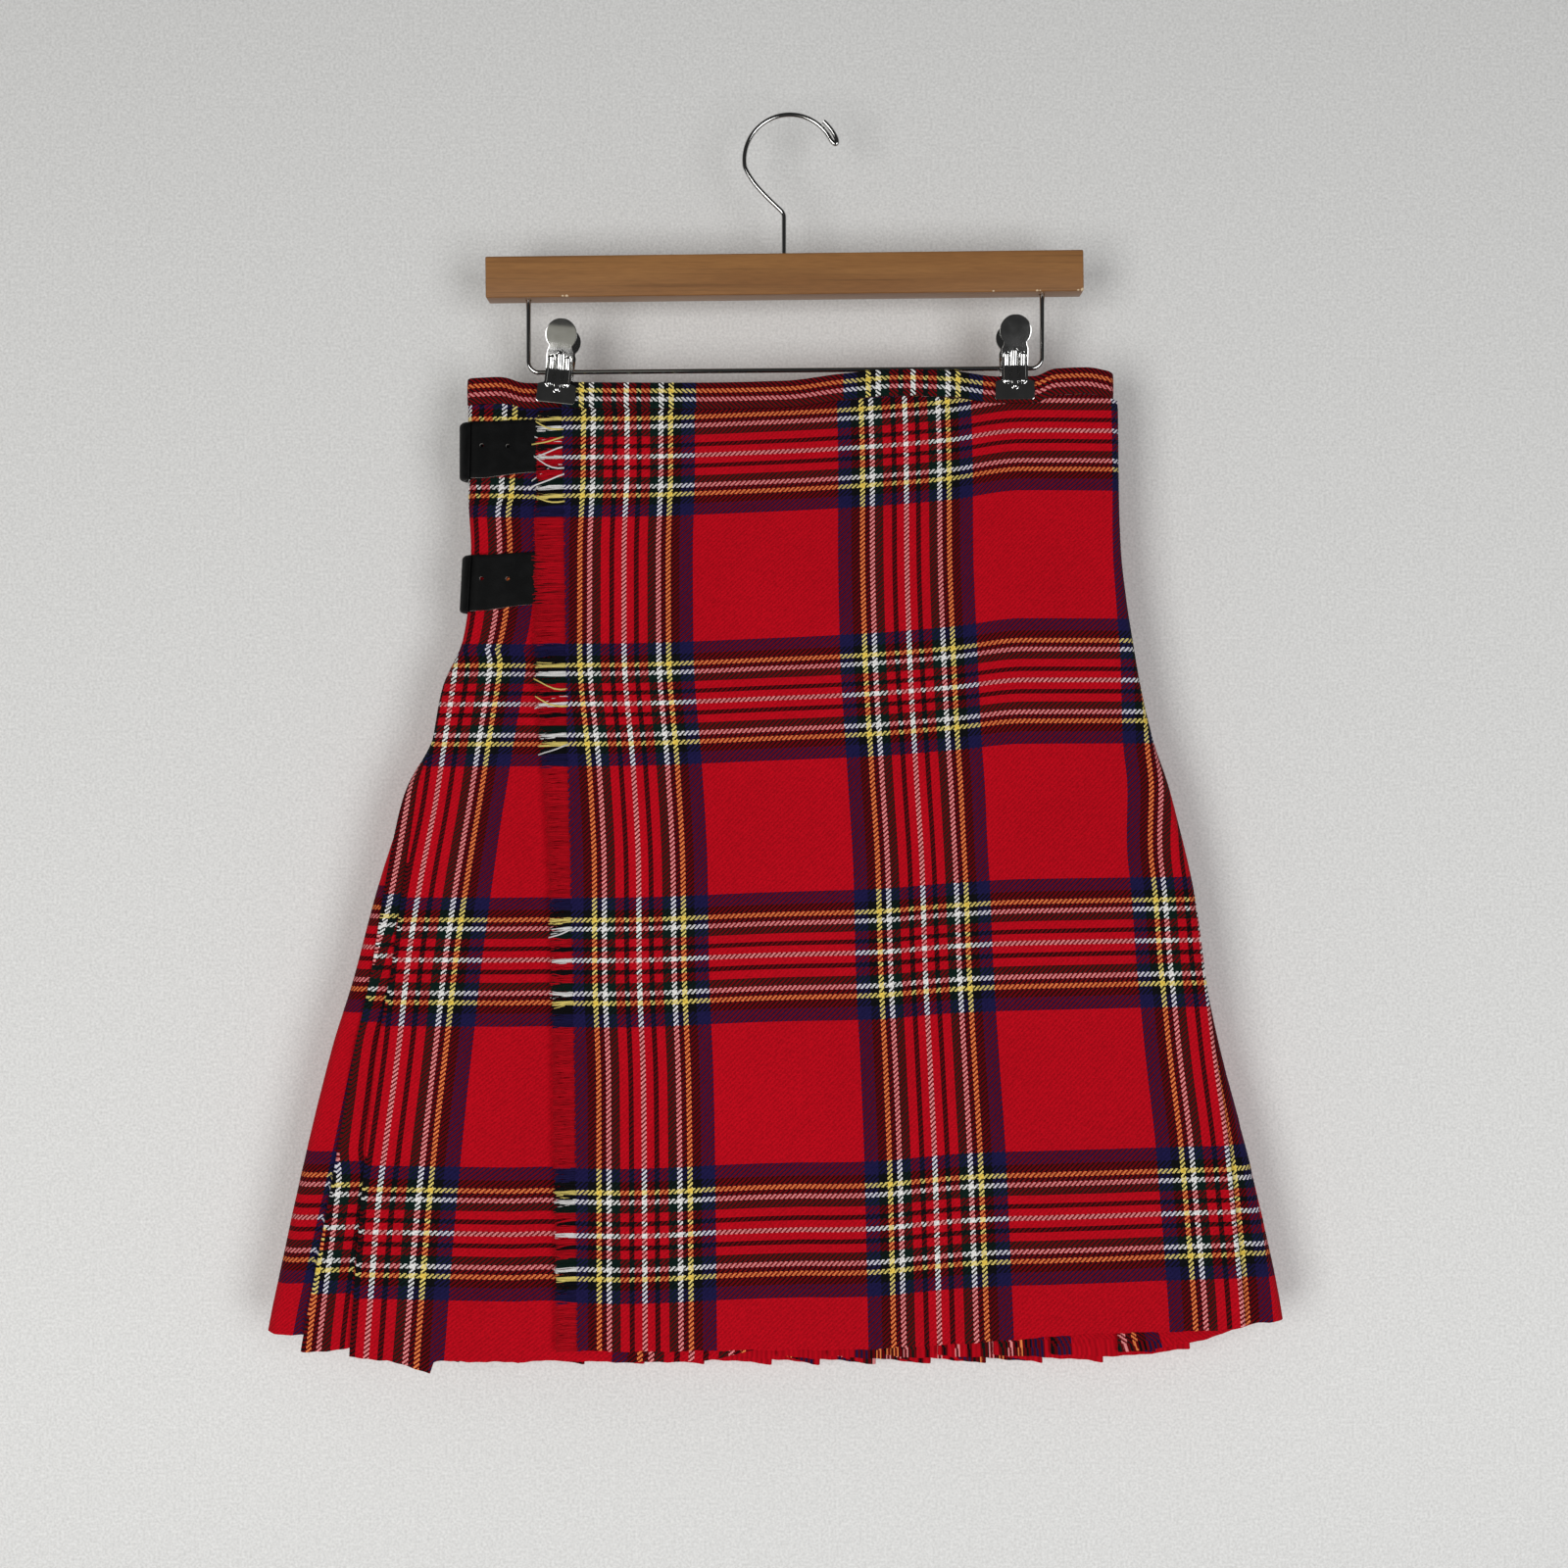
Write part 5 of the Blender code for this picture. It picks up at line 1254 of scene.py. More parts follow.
counts = np.array(strand_threads)[corner_vertices]
tones = np.array(strand_tones)[corner_vertices]
layer.uv.foreach_set("vector", np.column_stack([tones, counts]).ravel())
mesh.shade_smooth()
fringe = bpy.data.objects.new("apron_fringe_yarn", mesh)
bpy.context.scene.collection.objects.link(fringe)
mesh.materials.append(fringe_yarn)
stand_for(fringe, "apron_fringe")
print("fringe:", len(placed), "strands,", len(mesh.polygons), "faces")

# %% [markdown]
# The straps are matte black leather with a fine grain.  Their edges are coloured pale grey, a
# painted highlight along them.  The metal is plain chrome with a little haze, and the bar is
# satin brown wood whose grain runs along it.

# %% Leather
def leather_material(name, dark, pale, roughness):
    """Leather: a fine pebbled grain with small worn, paler places."""
    material, tree, shader = new_material(name, Specular_IOR_Level=0.11)
    values = {"Vector": object_place(tree), "Scale": 1100.0}
    grain = add_node(tree, "ShaderNodeTexVoronoi", values).outputs["Distance"]
    cloud = noise(tree, 130.0, 6.0)
    worn = map_range(tree, cloud, 0.45, 0.75)
    colour = mix_colours(tree, worn, (*dark, 1.0), (*pale, 1.0))
    rough = map_range(tree, cloud, low=roughness - 0.08, high=roughness + 0.1)
    finish_shader(tree, shader, colour, rough, grain, 0.35, 0.0002)
    return material


leather = leather_material("Strap leather", (0.0012, 0.0014, 0.0015), (0.0045, 0.0048, 0.0050), 0.6)
# The pale grey of the edges is a painted highlight along the straps' edges
edge_highlight_leather = leather_material("Cut leather edge", (0.42, 0.41, 0.39), (0.60, 0.58, 0.55), 0.8)
print("leathers:", leather.name, edge_highlight_leather.name)

# %% Chrome
chrome, tree, shader = new_material("Chrome", Metallic=1.0)
shader.inputs["Base Color"].default_value = (0.60, 0.60, 0.59, 1.0)
finish_shader(tree, shader, roughness=map_range(tree, noise(tree, 160.0), low=0.06, high=0.14))
print("metal:", chrome.name)

# %% Wood
wood, tree, shader = new_material("Satin wood", Specular_IOR_Level=0.25, Coat_Weight=0.12)
shader.inputs["Coat Roughness"].default_value = 0.4
spot = object_place(tree)


def stretched_noise(scale, detail):
    """Noise drawn out along the bar."""
    place = add_node(tree, "ShaderNodeMapping", {"Vector": spot, "Scale": scale})
    values = {"Vector": place.outputs[0], "Scale": 1.0, "Detail": detail, "Roughness": 0.6}
    return add_node(tree, "ShaderNodeTexNoise", values).outputs[0]


broad = map_range(tree, stretched_noise((7.0, 90.0, 90.0), 3.0), 0.3, 0.7)
growth = stretched_noise((5.0, 420.0, 420.0), 2.0)
pores = stretched_noise((90.0, 1500.0, 1500.0), 4.0)
base = mix_colours(tree, broad, (0.225, 0.096, 0.028, 1.0), (0.305, 0.140, 0.042, 1.0))
base = lighten(tree, map_range(tree, growth, 0.57, 0.66, 1.0, 0.80), base)
base = lighten(tree, map_range(tree, pores, 0.35, 0.6, 0.88, 1.04), base)
print("grain nodes:", len(tree.nodes))

# %% Worn nicks along the bar's lower front edge
# Columns: X, Z, radius of a nick in the lacquer (mm)
NICKS = (
    (-137.0, -113.0, 0.8), (-134.6, -113.1, 1.1), (125.0, -110.1, 0.8), (151.6, -109.8, 0.9),
    (153.4, -109.7, 0.6), (179.4, -109.3, 1.5), (176.6, -109.5, 0.8), (180.2, -105.6, 0.6),
)
BAR_FRONT_Y = -8.0
BARE_WOOD = (0.62, 0.47, 0.30, 1.0)
for x, z, radius in NICKS:
    centre = (x * MM, BAR_FRONT_Y * MM, z * MM)
    away = add_node(tree, "ShaderNodeVectorMath", {0: spot, 1: centre}, operation="DISTANCE")
    inside = map_range(tree, away.outputs["Value"], 0.7 * radius * MM, radius * MM, 1.0, 0.0)
    base = mix_colours(tree, inside, base, BARE_WOOD)
satin = map_range(tree, growth, low=0.42, high=0.56)
finish_shader(tree, shader, base, satin, pores, 0.2, 0.0002)
print("wood:", wood.name)

# %% [markdown]
# A strap is a thick strip that lies on the kilt, turns the left end, and lies on the back up to
# its buckle.  It is laid as the cloth was: a grid follows the loop at a small height above it.
# Solidify gives the leather its thickness, with the painted edge highlight as its rim.

# %% How far out a strap lies
LEATHER = 2.0
# Columns: name, top Z, bottom Z
STRAPS = (("upper", -187.4, -219.6), ("lower", -268.4, -300.4))
STRAP_ENDS_X = (-128.0, -98.0)
STRAP_HOLES_X = (-186.0, -170.5)
# Sag of a strap's upper and lower edge at the left end, and how far along it fades
STRAP_DROOP = (2.2, 4.2)
DROOP_FADE = (8.0, 44.0)
KEEPER_REACH = 7.0
KEEPER_ROOM = 1.6
CHAPE_WALL = 1.2
BUCKLE_WIRE = 1.2
# Distances from the left end between which the strap comes down from the keeper
KEEPER_LEAD = (1.35 * KEEPER_REACH, 2.4 * KEEPER_REACH)
FRONT_BAR_X = -161.0
HEEL_BAR_X = -140.0
# X between which the strap climbs over the heel bar, and comes down past it
CLIMB_X = (FRONT_BAR_X + 1.5, HEEL_BAR_X - 3.5)
FALL_X = (HEEL_BAR_X + 4.0, HEEL_BAR_X + 26.0)
LOOP_CLEARANCE = 0.9
SEAT = CLOTH / 2 + GAP + LEATHER / 2
HEEL_HEIGHT = CLOTH / 2 + GAP + CHAPE_WALL + GAP + BUCKLE_WIRE


def strap_depth(loop, distance):
    """On the cloth, below the apron, through the keeper and out over the buckle's heel bar."""
    x, y = loop.on_loop(distance).T
    root = float(eased(APRON_PLACES, loop.row, 2))
    below = smooth_step(x, root - UNDER_RAMP[0], root - UNDER_RAMP[1])
    on_front = (y < 0.0) & (distance > loop.left_end)
    depth = np.where(on_front, UNDER_DEPTH * below, 0.0) - SEAT
    off_end = np.abs(distance - loop.left_end)
    depth -= KEEPER_ROOM * (1.0 - smooth_step(off_end, *KEEPER_LEAD))
    climb = smooth_step(x, *CLIMB_X)
    fall = smooth_step(x, *FALL_X)
    heel_rise = HEEL_HEIGHT + BUCKLE_WIRE + GAP + CHAPE_WALL + LOOP_CLEARANCE + LEATHER / 2 - SEAT
    lifted = climb * (1.0 - fall) * heel_rise + climb * fall * (CHAPE_WALL + GAP)
    return depth - np.where((y > 0.0) & (distance < loop.left_end), lifted, 0.0)


def droop(loop, distance, share):
    """How far a strap sags at the left end; its lower edge (share 1) sags more."""
    near_end = 1.0 - smooth_step(np.abs(distance - loop.left_end), *DROOP_FADE)
    return -(STRAP_DROOP[0] + (STRAP_DROOP[1] - STRAP_DROOP[0]) * share) * near_end


print("strap seat:", SEAT, "heel bar:", HEEL_HEIGHT)


# %% Cut holes
# Holes on the front: radius, and how far they lie below the strap's middle
HOLE_RADIUS = 1.2
HOLE_DROP = 0.6
# The prong's slot on the back: its middle, its radius and its stretch along X
SLOT_X = (FRONT_BAR_X + HEEL_BAR_X) / 2 + 1.1
SLOT_RADIUS = 1.5
SLOT_STRETCH = 2.8
# Y between which a cutter reaches, on the front and on the back
FRONT_DEPTH_CUT = (-22.0, -1.0)
BACK_DEPTH_CUT = (1.0, 22.0)


def cut_with(item, tool):
    """Cut a tool's shape out of a piece, and drop the tool.  A cut takes the tool's material."""
    cut = item.modifiers.new("Hole", "BOOLEAN")
    cut.object = tool
    cut.operation = "DIFFERENCE"
    if tool.data.materials:
        cut.material_mode = "TRANSFER"
    apply_modifiers(item)
    bpy.data.objects.remove(tool)


def punch(item, x, z, depths, radius, stretch):
    """Cut a round or long hole through a strap."""
    deselect()
    bpy.ops.mesh.primitive_cylinder_add(
        vertices=28, radius=radius * MM, depth=(depths[1] - depths[0]) * MM,
        location=(x * MM, sum(depths) / 2 * MM, z * MM), rotation=(math.pi / 2, 0.0, 0.0),
    )
    tool = bpy.context.object
    tool.scale = (stretch, 1.0, 1.0)
    bpy.ops.object.transform_apply(location=True, rotation=True, scale=True)
    # The hole's wall takes the painted edge highlight
    tool.data.materials.append(edge_highlight_leather)
    cut_with(item, tool)


print("prong's slot at X", SLOT_X)

# %% Lay and cut the straps
for name, top, bottom in STRAPS:
    rows = []
    for z in np.linspace(top, bottom, 13):
        loop = Loop(row_of(z))
        ends = (loop.back_distance(STRAP_ENDS_X[1]), loop.front_distance(STRAP_ENDS_X[0]))
        distance = np.linspace(ends[0], ends[1], 150)
        points, _ = loop.place(distance, strap_depth(loop, distance))
        sag_share = (top - z) / (top - bottom)
        rows.append(np.column_stack([points, z + droop(loop, distance, sag_share)]))
    rows = np.array(rows)
    strap = laid_grid("strap_" + name + "_leather", rows)
    strap.data.materials.append(leather)
    strap.data.materials.append(edge_highlight_leather)
    # The rim, slot 1, takes the painted edge highlight
    add_wall(strap, LEATHER, rim_slot=1)
    round_edges(strap, 0.25).material = 0
    apply_modifiers(strap)
    middle = (top + bottom) / 2
    for x in STRAP_HOLES_X:
        punch(strap, x, middle - HOLE_DROP, FRONT_DEPTH_CUT, HOLE_RADIUS, 1.0)
    punch(strap, SLOT_X, middle, BACK_DEPTH_CUT, SLOT_RADIUS, SLOT_STRETCH)
    finish_mesh(strap, None)
    stand_for(strap, "strap_" + name)
    print(strap.name, len(strap.data.polygons), "faces")

# %% [markdown]
# A keeper is a thin leather loop round the strap, where strap and kilt turn the left end.  Its
# section is a flat ring with round corners, and the grid carries that ring along the loop.

# %% Section of a keeper
KEEPER_WALL = 1.0
KEEPER_DEPTHS = (1.675, 5.375)
KEEPER_MARGIN = 0.85
KEEPER_CORNER = 1.8
KEEPER_DROOP = 3.6
KEEPER_STATIONS = 25
# Points closer than this, in metres, are merged
MERGE = 0.00001


def keeper_ring(top, bottom):
    """Height and depth round the keeper's section, back to where it began."""
    inner, outer = KEEPER_DEPTHS
    high = top + KEEPER_MARGIN - KEEPER_CORNER
    low = bottom - KEEPER_MARGIN + KEEPER_CORNER
    ring = []
    for z, depth, first in (
        (high, outer - KEEPER_CORNER, 0.0), (low, outer - KEEPER_CORNER, 90.0),
        (low, inner + KEEPER_CORNER, 180.0), (high, inner + KEEPER_CORNER, 270.0),
    ):
        for angle in np.radians(np.linspace(first, first + 90.0, 6)):
            ring.append((z + KEEPER_CORNER * math.cos(angle), depth + KEEPER_CORNER * math.sin(angle)))
    return ring + ring[:1]


print("points round a keeper:", len(keeper_ring(0.0, -30.0)))

# %% Keepers
for name, top, bottom in STRAPS:
    columns = []
    for z, depth in keeper_ring(top, bottom):
        loop = Loop(row_of(z))
        distance = loop.left_end + np.linspace(-KEEPER_REACH, KEEPER_REACH, KEEPER_STATIONS)
        points, _ = loop.place(distance, np.full(KEEPER_STATIONS, -depth))
        height = np.full(KEEPER_STATIONS, z - KEEPER_DROOP)
        columns.append(np.column_stack([points, height]))
    rows = np.array(columns).transpose(1, 0, 2)
    keeper = laid_grid("keeper_" + name + "_leather", rows)
    only(keeper)
    bpy.ops.object.mode_set(mode="EDIT")
    bpy.ops.mesh.select_all(action="SELECT")
    bpy.ops.mesh.remove_doubles(threshold=MERGE)
    bpy.ops.mesh.normals_make_consistent(inside=False)
    bpy.ops.object.mode_set(mode="OBJECT")
    add_wall(keeper, KEEPER_WALL)
    round_edges(keeper, 0.3)
    finish_mesh(keeper, leather)
    stand_for(keeper, "keeper_" + name)
    print(keeper.name, len(keeper.data.polygons), "faces")

# %% [markdown]
# The chapes have the right shape in the solid model, but their edges are knife sharp.  A copy
# of each is merged into a closed mesh and bevelled.  The buckle's frame and prong are bent
# wire, so their copies are smoothed with a subdivision surface instead.

# %% Merge a copy of a CAD node
def merged_copy(node, suffix):
    """A copy of a CAD node as one closed mesh."""
    source = bpy.data.objects[node]
    piece = bpy.data.objects.new(node + suffix, source.data.copy())
    piece.data.name = piece.name
    bpy.context.scene.collection.objects.link(piece)
    only(piece)
    bpy.ops.object.mode_set(mode="EDIT")
    bpy.ops.mesh.select_all(action="SELECT")
    bpy.ops.mesh.remove_doubles(threshold=MERGE)
    bpy.ops.mesh.tris_convert_to_quads()
    bpy.ops.object.mode_set(mode="OBJECT")
    piece.data.materials.clear()
    return piece


print("nodes to copy from:", len(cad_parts))

# %% Soften the small hard pieces
# Width of the rounded edge, or 0 for wire that is smoothed instead (mm)
SOFTENED = {
    "chape_upper": 0.25, "chape_lower": 0.25,
    "buckle_upper": 0.0, "buckle_lower": 0.0, "prong_upper": 0.0, "prong_lower": 0.0,
}
for node, width in SOFTENED.items():
    piece = merged_copy(node, "_finished")
    if width:
        round_edges(piece, width, sharp=40.0)
    else:
        smooth = piece.modifiers.new("Smooth wire", "SUBSURF")
        smooth.levels = 1
        smooth.render_levels = 1
    finish_mesh(piece, leather if width else chrome, 50.0)
    stand_for(piece, node)
print("softened:", len(SOFTENED))

# %% [markdown]
# The hook and the clip rod are lengths of round wire.  A curve with a round bevel follows each
# one's bends, and is then made a mesh, with its ends closed.

# %% Sizes of the bar, the hook and the rod
BAR_SIZE = (364.0, 16.0, 25.0)
BAR_CENTRE = (-2.1, 0.0, -99.3)
BAR_TILT = math.radians(0.66)
WIRE = 1.5
WIRE_CLEARANCE = 0.4
HOOK_STEM_X = -2.4
HOOK_SINK = 12.0
# X, Z of the hook's stem and its bend up to the arc
HOOK_STEM = (
    (-2.4, -66.0), (-2.4, -60.4), (-6.5, -56.6), (-13.0, -50.4), (-19.4, -43.6), (-24.0, -37.0),
)
# X and Z of the arc's centre, its radius, and its points
HOOK_ARC = (1.2, -27.9, 27.9)
HOOK_POINTS = 60
# Columns: angle on the arc, distance outside it in wire radii, of the folded tip
HOOK_TIP = (
    (24.5, 0.1), (21.5, 0.5), (19.4, 1.1), (20.0, 1.8), (22.5, 2.2), (26.0, 2.35), (30.0, 2.4),
    (35.0, 2.4), (40.0, 2.4), (45.0, 2.4), (49.0, 2.4),
)
# X, Z where the clip rod's legs would meet its straight run
ROD_ENDS = ((-158.8, -157.8), (155.6, -155.2))
ROD_BEND = 6.5
ROD_SINK = 8.0


def bar_surface(x, side):
    """Height of the bar's top or underside at X."""
    slope = math.tan(BAR_TILT)
    half = BAR_SIZE[2] / 2 / math.cos(BAR_TILT)
    return BAR_CENTRE[2] + (x - BAR_CENTRE[0]) * slope + side * half


print("bar's underside at the hook:", round(bar_surface(HOOK_STEM_X, -1), 1), "mm")


# %% Helpers for wire
def wire_piece(name, route, radius, material):
    """Round wire along points (X, Y, Z in mm), as a closed mesh."""
    data = bpy.data.curves.new(name, "CURVE")
    data.dimensions = "3D"
    data.bevel_depth = radius * MM
    data.bevel_resolution = 5
    data.use_fill_caps = True
    spline = data.splines.new("POLY")
    spline.points.add(len(route) - 1)
    for point, place in zip(spline.points, route):
        point.co = (*(value * MM for value in place), 1.0)
    piece = bpy.data.objects.new(name, data)
    bpy.context.scene.collection.objects.link(piece)
    only(piece)
    bpy.ops.object.convert(target="MESH")
    piece = bpy.context.object
    finish_mesh(piece, material, 60.0)
    return piece


def rounded_route(route, times):
    """Cut the corners of a route again and again, so that its bends are round."""
    points = np.array(route)
    for _ in range(times):
        near = points[:-1] * 0.75 + points[1:] * 0.25
        far = points[:-1] * 0.25 + points[1:] * 0.75
        cut = np.stack([near, far], axis=1).reshape(-1, points.shape[1])
        points = np.vstack([points[:1], cut, points[-1:]])
    return points


def upright(route):
    """Points in the plane Y = 0 from pairs of X and Z."""
    return [(x, 0.0, z) for x, z in route]


print("wire is", 2 * WIRE, "mm thick")

# %% Hook
stem_top = bar_surface(HOOK_STEM_X, 1)
centre_x, centre_z, arc_radius = HOOK_ARC
arc = [(angle, 0.0) for angle in np.linspace(189.0, 27.0, HOOK_POINTS)] + list(HOOK_TIP)
turned = []
for angle, outside in arc:
    reach = arc_radius + outside * WIRE
    turned.append((
        centre_x + reach * math.cos(math.radians(angle)),
        centre_z + reach * math.sin(math.radians(angle)),
    ))
bend = rounded_route([*HOOK_STEM, turned[0], turned[1]], 3)
tip = rounded_route(turned[HOOK_POINTS - 2:], 2)
plain_arc = turned[2:HOOK_POINTS - 2]
hook_route = upright([(HOOK_STEM_X, stem_top - HOOK_SINK), *bend, *plain_arc, *tip])
hook = wire_piece("hanger_hook_wire", hook_route, WIRE, chrome)
stand_for(hook, "hanger_hook")
print("hook:", len(hook_route), "points")

# %% Clip rod
rod_route = []
for (x, z), side in ((ROD_ENDS[0], -1.0), (ROD_ENDS[1], 1.0)):
    corner = [(x, bar_surface(x, -1) + ROD_SINK), (x, z + ROD_BEND)]
    for angle in np.radians(np.linspace(5.0, 85.0, 12)):
        corner.append((
            x - side * ROD_BEND * (1.0 - math.cos(angle)), z + ROD_BEND * (1.0 - math.sin(angle))
        ))
    corner.append((x - side * ROD_BEND, z))
    rod_route += corner if side < 0 else corner[::-1]
rod = wire_piece("clip_rod_wire", upright(rod_route), WIRE, chrome)
stand_for(rod, "clip_rod")
print("rod:", len(rod_route), "points")

# %% The wooden bar
deselect()
bpy.ops.mesh.primitive_cube_add(size=1.0)
bar = bpy.context.object
bar.name = "hanger_bar_wood"
bar.data.name = bar.name
bar.scale = [size * MM for size in BAR_SIZE]
bar.rotation_euler = (0.0, -BAR_TILT, 0.0)
bar.location = [place * MM for place in BAR_CENTRE]
bpy.ops.object.transform_apply(location=True, rotation=True, scale=True)
round_edges(bar, 0.9, 4)
apply_modifiers(bar)
for x, side in ((HOOK_STEM_X, 1), (ROD_ENDS[0][0], -1), (ROD_ENDS[1][0], -1)):
    deselect()
    bpy.ops.mesh.primitive_cylinder_add(
        vertices=24, radius=(WIRE + WIRE_CLEARANCE) * MM, depth=2.0 * HOOK_SINK * MM,
        location=(x * MM, 0.0, bar_surface(x, side) * MM),
    )
    cut_with(bar, bpy.context.object)
finish_mesh(bar, wood, 35.0)
stand_for(bar, "hanger_bar")
print("bar:", len(bar.data.polygons), "faces")

# %% [markdown]
# Each clip is two pressed plates on the rod with a coiled spring between them.  A plate has a
# round thumb pad, a narrow neck, a body with three pressed ribs and a wide foot that grips the
# waistband.  The plate is a grid whose width follows that outline, and the ribs are pressed
# out of it before it gets its thickness.

# %% Outline and ribs of a clip's plate
# Columns: name, X where the rod passes, lean in degrees
CLIPS = (("left", -139.6, -6.0), ("right", 138.2, 0.5))
PLATE = 1.2
PAD_CENTRE = 20.7
PAD_RADIUS = 9.5
# Heights at which the pad ends in the neck and at which the foot ends
PLATE_NECK = 13.4
PLATE_FOOT = -20.2
# Columns: height above the rod, half width
PLATE_OUTLINE = (
    (14.0, 6.9), (12.6, 7.0), (10.6, 7.9), (8.0, 8.0), (-7.6, 8.0), (-8.3, 8.4), (-8.9, 11.3),
    (-9.5, 11.8), (-18.6, 12.0), (-19.6, 11.7), (-20.2, 10.8),
)
# Columns: height above the rod, distance of the plate's middle from the rod
PLATE_REACH = np.array((
    (-20.0, 6.05), (-9.0, 6.05), (-7.4, 5.9), (0.0, 5.2), (7.4, 7.2), (13.4, 9.4), (16.6, 10.4),
    (20.7, 11.2), (24.8, 11.8), (30.5, 12.4),
))
# Columns: X, bottom, top of a rib
RIBS = ((-4.9, -8.6, 6.4), (0.0, -12.0, 8.4), (4.9, -8.6, 6.4))
RIB_RADIUS = 1.6
RIB_HEIGHT = 1.0
PLATE_COLUMNS = 45
# The coiled spring: turns, points, reach along the rod, radius of the coil and of its wire
COIL_TURNS = 8
COIL_POINTS = 160
COIL_REACH = 3.9
COIL_RADIUS = 2.55
COIL_WIRE = 0.42


print("ribs on a plate:", len(RIBS))


# %% Rows and ribs of a plate
def plate_rows():
    """Heights and half widths down the plate."""
    turn = np.radians(np.linspace(9.0, 134.0, 34))
    rows = [(PAD_CENTRE + PAD_RADIUS * math.cos(t), PAD_RADIUS * math.sin(t)) for t in turn]
    table = np.array(PLATE_OUTLINE)[::-1]
    for height in np.linspace(PLATE_NECK, PLATE_FOOT, 62):
        rows.append((height, float(np.interp(height, table[:, 0], table[:, 1]))))
    return rows


def pressed(x, height):
    """How far the ribs stand out of the plate."""
    total = np.zeros_like(x)
    for rib_x, low, high in RIBS:
        beyond = max(0.0, height - high, low - height)
        away = np.hypot(x - rib_x, beyond)
        total += RIB_HEIGHT * np.sqrt(np.clip(1.0 - (away / RIB_RADIUS) ** 2, 0.0, 1.0))
    return total


def clip_place(points, x, z, lean):
    """Turn points of a clip by its lean and set them on the rod."""
    turn = math.radians(lean)
    px, py, pz = np.moveaxis(points, -1, 0)
    turned_x = px * math.cos(turn) - pz * math.sin(turn)
    turned_z = px * math.sin(turn) + pz * math.cos(turn)
    return np.stack([turned_x + x, py, turned_z + z], axis=-1)


print("plate rows:", len(plate_rows()))

# %% Ears of a clip
ROD_SLOPE = (ROD_ENDS[1][1] - ROD_ENDS[0][1]) / (ROD_ENDS[1][0] - ROD_ENDS[0][0])


# Size of an ear, its middle's distance from the rod, and X of the front's and the back's ears
EAR_SIZE = (1.0, 8.0, 8.8)
EAR_REACH = 1.4
FRONT_EAR_X = 7.3
BACK_EAR_X = 5.4


def ear(x, side):
    """A side wall of a clip, bent back from the plate to the rod."""
    deselect()
    bpy.ops.mesh.primitive_cube_add(size=1.0, location=(x * MM, side * EAR_REACH * MM, 0.0))
    piece = bpy.context.object
    piece.scale = [size * MM for size in EAR_SIZE]
    bpy.ops.object.transform_apply(location=True, rotation=True, scale=True)
    round_edges(piece, 0.45)
    apply_modifiers(piece)
    return piece


print("the rod rises", round(ROD_SLOPE * 1000, 1), "mm in a metre")


# %% One plate of a clip
def clip_plate(name, x, z, lean, side):
    """One pressed plate with its two ears."""
    rows = []
    for height, half_width in plate_rows():
        row_x = np.linspace(-1.0, 1.0, PLATE_COLUMNS) * half_width
        reach = float(eased(PLATE_REACH, height, 1)) + pressed(row_x, height)
        rows.append(np.column_stack([row_x, side * reach, np.full_like(row_x, height)]))
    rows = clip_place(np.array(rows), x, z, lean)
    plate = laid_grid(name, rows)
    add_wall(plate, PLATE)
    round_edges(plate, 0.25)
    apply_modifiers(plate)
    ear_x = FRONT_EAR_X if side < 0 else BACK_EAR_X
    ears = [ear(-ear_x, side), ear(ear_x, side)]
    for piece in ears:
        corners = np.array([vertex.co[:] for vertex in piece.data.vertices]) / MM
        moved = clip_place(corners, x, z, lean) * MM
        piece.data.vertices.foreach_set("co", moved.ravel())
    only(plate)
    for piece in ears:
        piece.select_set(True)
    bpy.ops.object.join()
    finish_mesh(plate, chrome)
    return plate


print("columns across a plate:", PLATE_COLUMNS)

# %% Clips
for name, x, lean in CLIPS:
    z = ROD_ENDS[0][1] + (x - ROD_ENDS[0][0]) * ROD_SLOPE
    front = clip_plate("clip_" + name + "_front_plate", x, z, lean, -1.0)
    back = clip_plate("clip_" + name + "_back_plate", x, z, lean, 1.0)
    turns = np.linspace(0.0, 2.0 * math.pi * COIL_TURNS, COIL_POINTS)
    coil = np.column_stack([
        np.linspace(-COIL_REACH, COIL_REACH, COIL_POINTS),
        COIL_RADIUS * np.sin(turns), COIL_RADIUS * np.cos(turns),
    ])
    coil = clip_place(coil, x, z, lean)
    spring = wire_piece("clip_" + name + "_spring_coil", coil.tolist(), COIL_WIRE, chrome)
    for piece, node in ((front, "front"), (back, "back"), (spring, "spring")):
        stand_for(piece, "clip_" + name + "_" + node)
    print("clip", name, len(front.data.polygons), "faces a plate")

# %% [markdown]
# The kilt hangs just in front of a pale wall.  The wall can only be seen from its front, so that
# a view of the back isn't blocked.  The light is soft: a large lamp on the left, a second one
# nearly as strong on the right, a weak card that the left clip mirrors, and a lamp behind the
# wall that lights the back.

# %% Wall and floor
WALL_Y = 0.045
FLOOR_Z = -0.95
STAGE_SIZE = 6.0


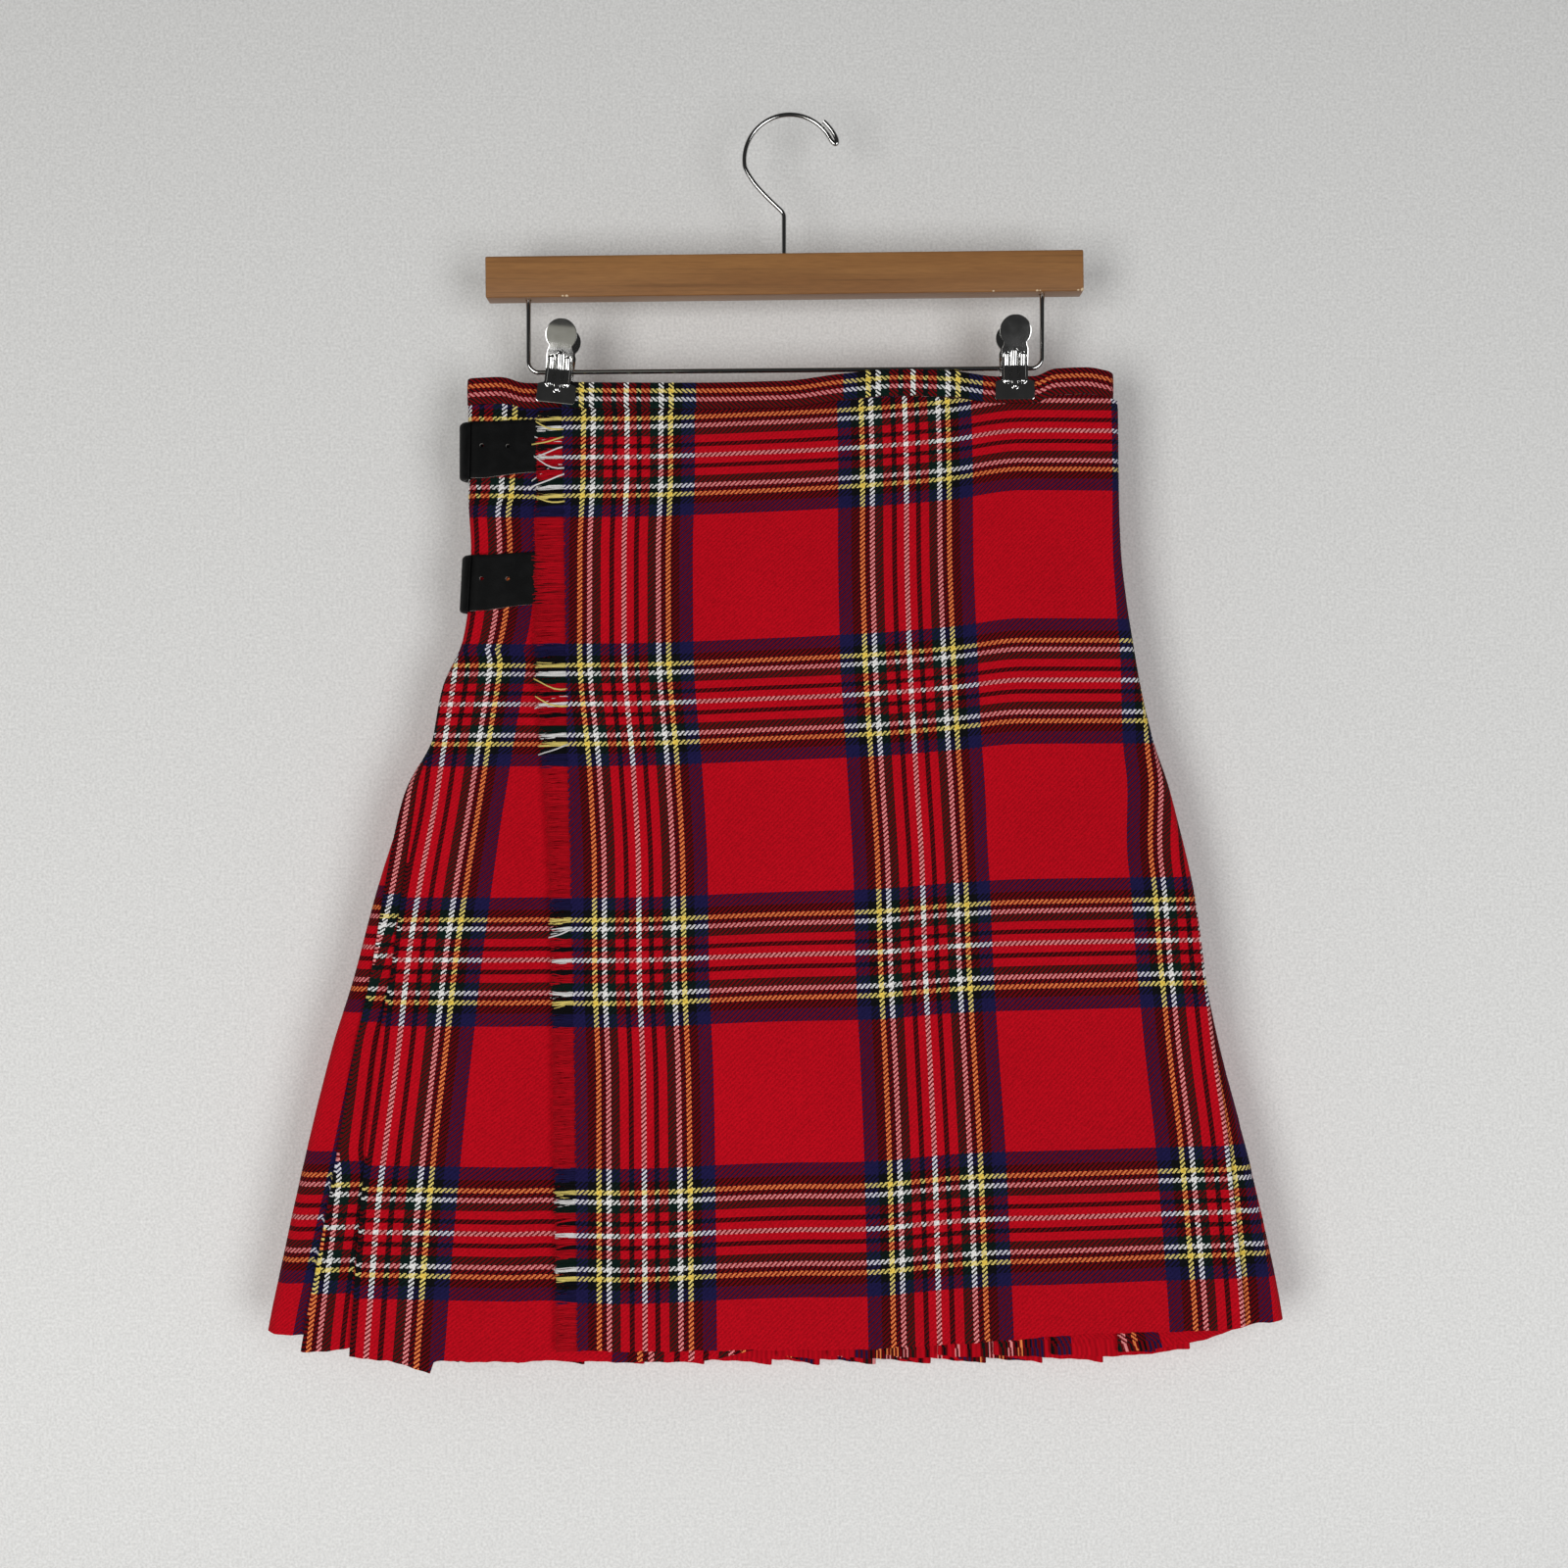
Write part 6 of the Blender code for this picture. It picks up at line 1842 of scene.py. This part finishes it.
def stage_material(name, in_mirrors):
    """Pale matte colour, with painted shade that darkens it toward the top, seen only from its front,
    by the camera and, if in_mirrors, by shiny metal.
    """
    material, tree, shader = new_material(name, Roughness=0.95, Specular_IOR_Level=0.1)
    stage_colour = mix_colours(
        tree, noise(tree, 620.0), (0.56, 0.56, 0.55, 1.0), (1.0, 1.0, 0.985, 1.0)
    )
    # Painted shade: the colour grows darker toward the top, where the lamps' light falls off
    height = add_node(tree, "ShaderNodeSeparateXYZ", {0: object_place(tree)}).outputs[2]
    stage_colour = lighten(tree, map_range(tree, height, -0.8, 0.1, 1.0, 0.83), stage_colour)
    finish_shader(tree, shader, stage_colour)
    from_back = add_node(tree, "ShaderNodeNewGeometry").outputs["Backfacing"]
    rays = add_node(tree, "ShaderNodeLightPath").outputs
    seeing = rays["Is Camera Ray"]
    if in_mirrors:
        seeing = maths(tree, "MAXIMUM", seeing, rays["Is Glossy Ray"])
    shown = maths(tree, "SUBTRACT", seeing, from_back)
    clear = add_node(tree, "ShaderNodeBsdfTransparent").outputs[0]
    either = add_node(tree, "ShaderNodeMixShader", {0: shown, 1: clear, 2: shader.outputs[0]})
    tree.links.new(either.outputs[0], tree.nodes["Material Output"].inputs["Surface"])
    return material


# Columns: name, place, turn about X, whether the metal mirrors it
STAGE = (
    ("wall_stage", (0.0, WALL_Y, 0.0), math.pi / 2, True),
    ("floor_stage", (0.0, WALL_Y - STAGE_SIZE / 2, FLOOR_Z), 0.0, False),
)
for name, place, turn, in_mirrors in STAGE:
    deselect()
    bpy.ops.mesh.primitive_plane_add(size=STAGE_SIZE, location=place, rotation=(turn, 0.0, 0.0))
    bpy.ops.object.transform_apply(location=True, rotation=True, scale=True)
    item = bpy.context.object
    item.name = name
    item.data.materials.append(stage_material(name + "_paint", in_mirrors))
print("wall at", WALL_Y, "floor at", FLOOR_Z)


# %% Lights
def area_light(name, place, aim, size, power, colour):
    data = bpy.data.lights.new(name, "AREA")
    data.shape = "RECTANGLE"
    data.size, data.size_y = size
    data.energy = power
    data.color = colour
    lamp = bpy.data.objects.new(name, data)
    lamp.location = place
    lamp.rotation_euler = (Vector(aim) - Vector(place)).to_track_quat("-Z", "Y").to_euler()
    bpy.context.scene.collection.objects.link(lamp)
    return lamp


MIDDLE = (0.0, 0.0, -0.45)
area_light("key", (-1.1, -2.1, -0.7), MIDDLE, (0.9, 1.4), 25.0, (1.0, 0.99, 0.975))
area_light("fill", (1.1, -2.1, -0.75), MIDDLE, (0.9, 1.4), 21.0, (0.985, 0.99, 1.0))
area_light("card", (-0.33, -1.5, -0.5), (-0.33, 0.0, -0.5), (0.36, 0.75), 0.24, (1.0, 0.98, 0.84))
area_light("back", (0.0, 1.9, -0.2), MIDDLE, (1.6, 1.4), 14.0, (1.0, 1.0, 1.0))
world = bpy.data.worlds.new("Soft room")
world.use_nodes = True
room = world.node_tree
soft = room.nodes["Background"]
soft.inputs["Color"].default_value = (0.80, 0.80, 0.80, 1.0)
soft.inputs["Strength"].default_value = 0.34
mirrored = add_node(room, "ShaderNodeBackground", {"Color": (0.03, 0.03, 0.03, 1.0)})
glossy = add_node(room, "ShaderNodeLightPath").outputs["Is Glossy Ray"]
shaders = {0: glossy, 1: soft.outputs[0], 2: mirrored.outputs[0]}
either = add_node(room, "ShaderNodeMixShader", shaders)
room.links.new(either.outputs[0], room.nodes["World Output"].inputs["Surface"])
bpy.context.scene.world = world
bpy.context.scene.view_settings.view_transform = "Standard"
print("lights:", len(bpy.data.lights))
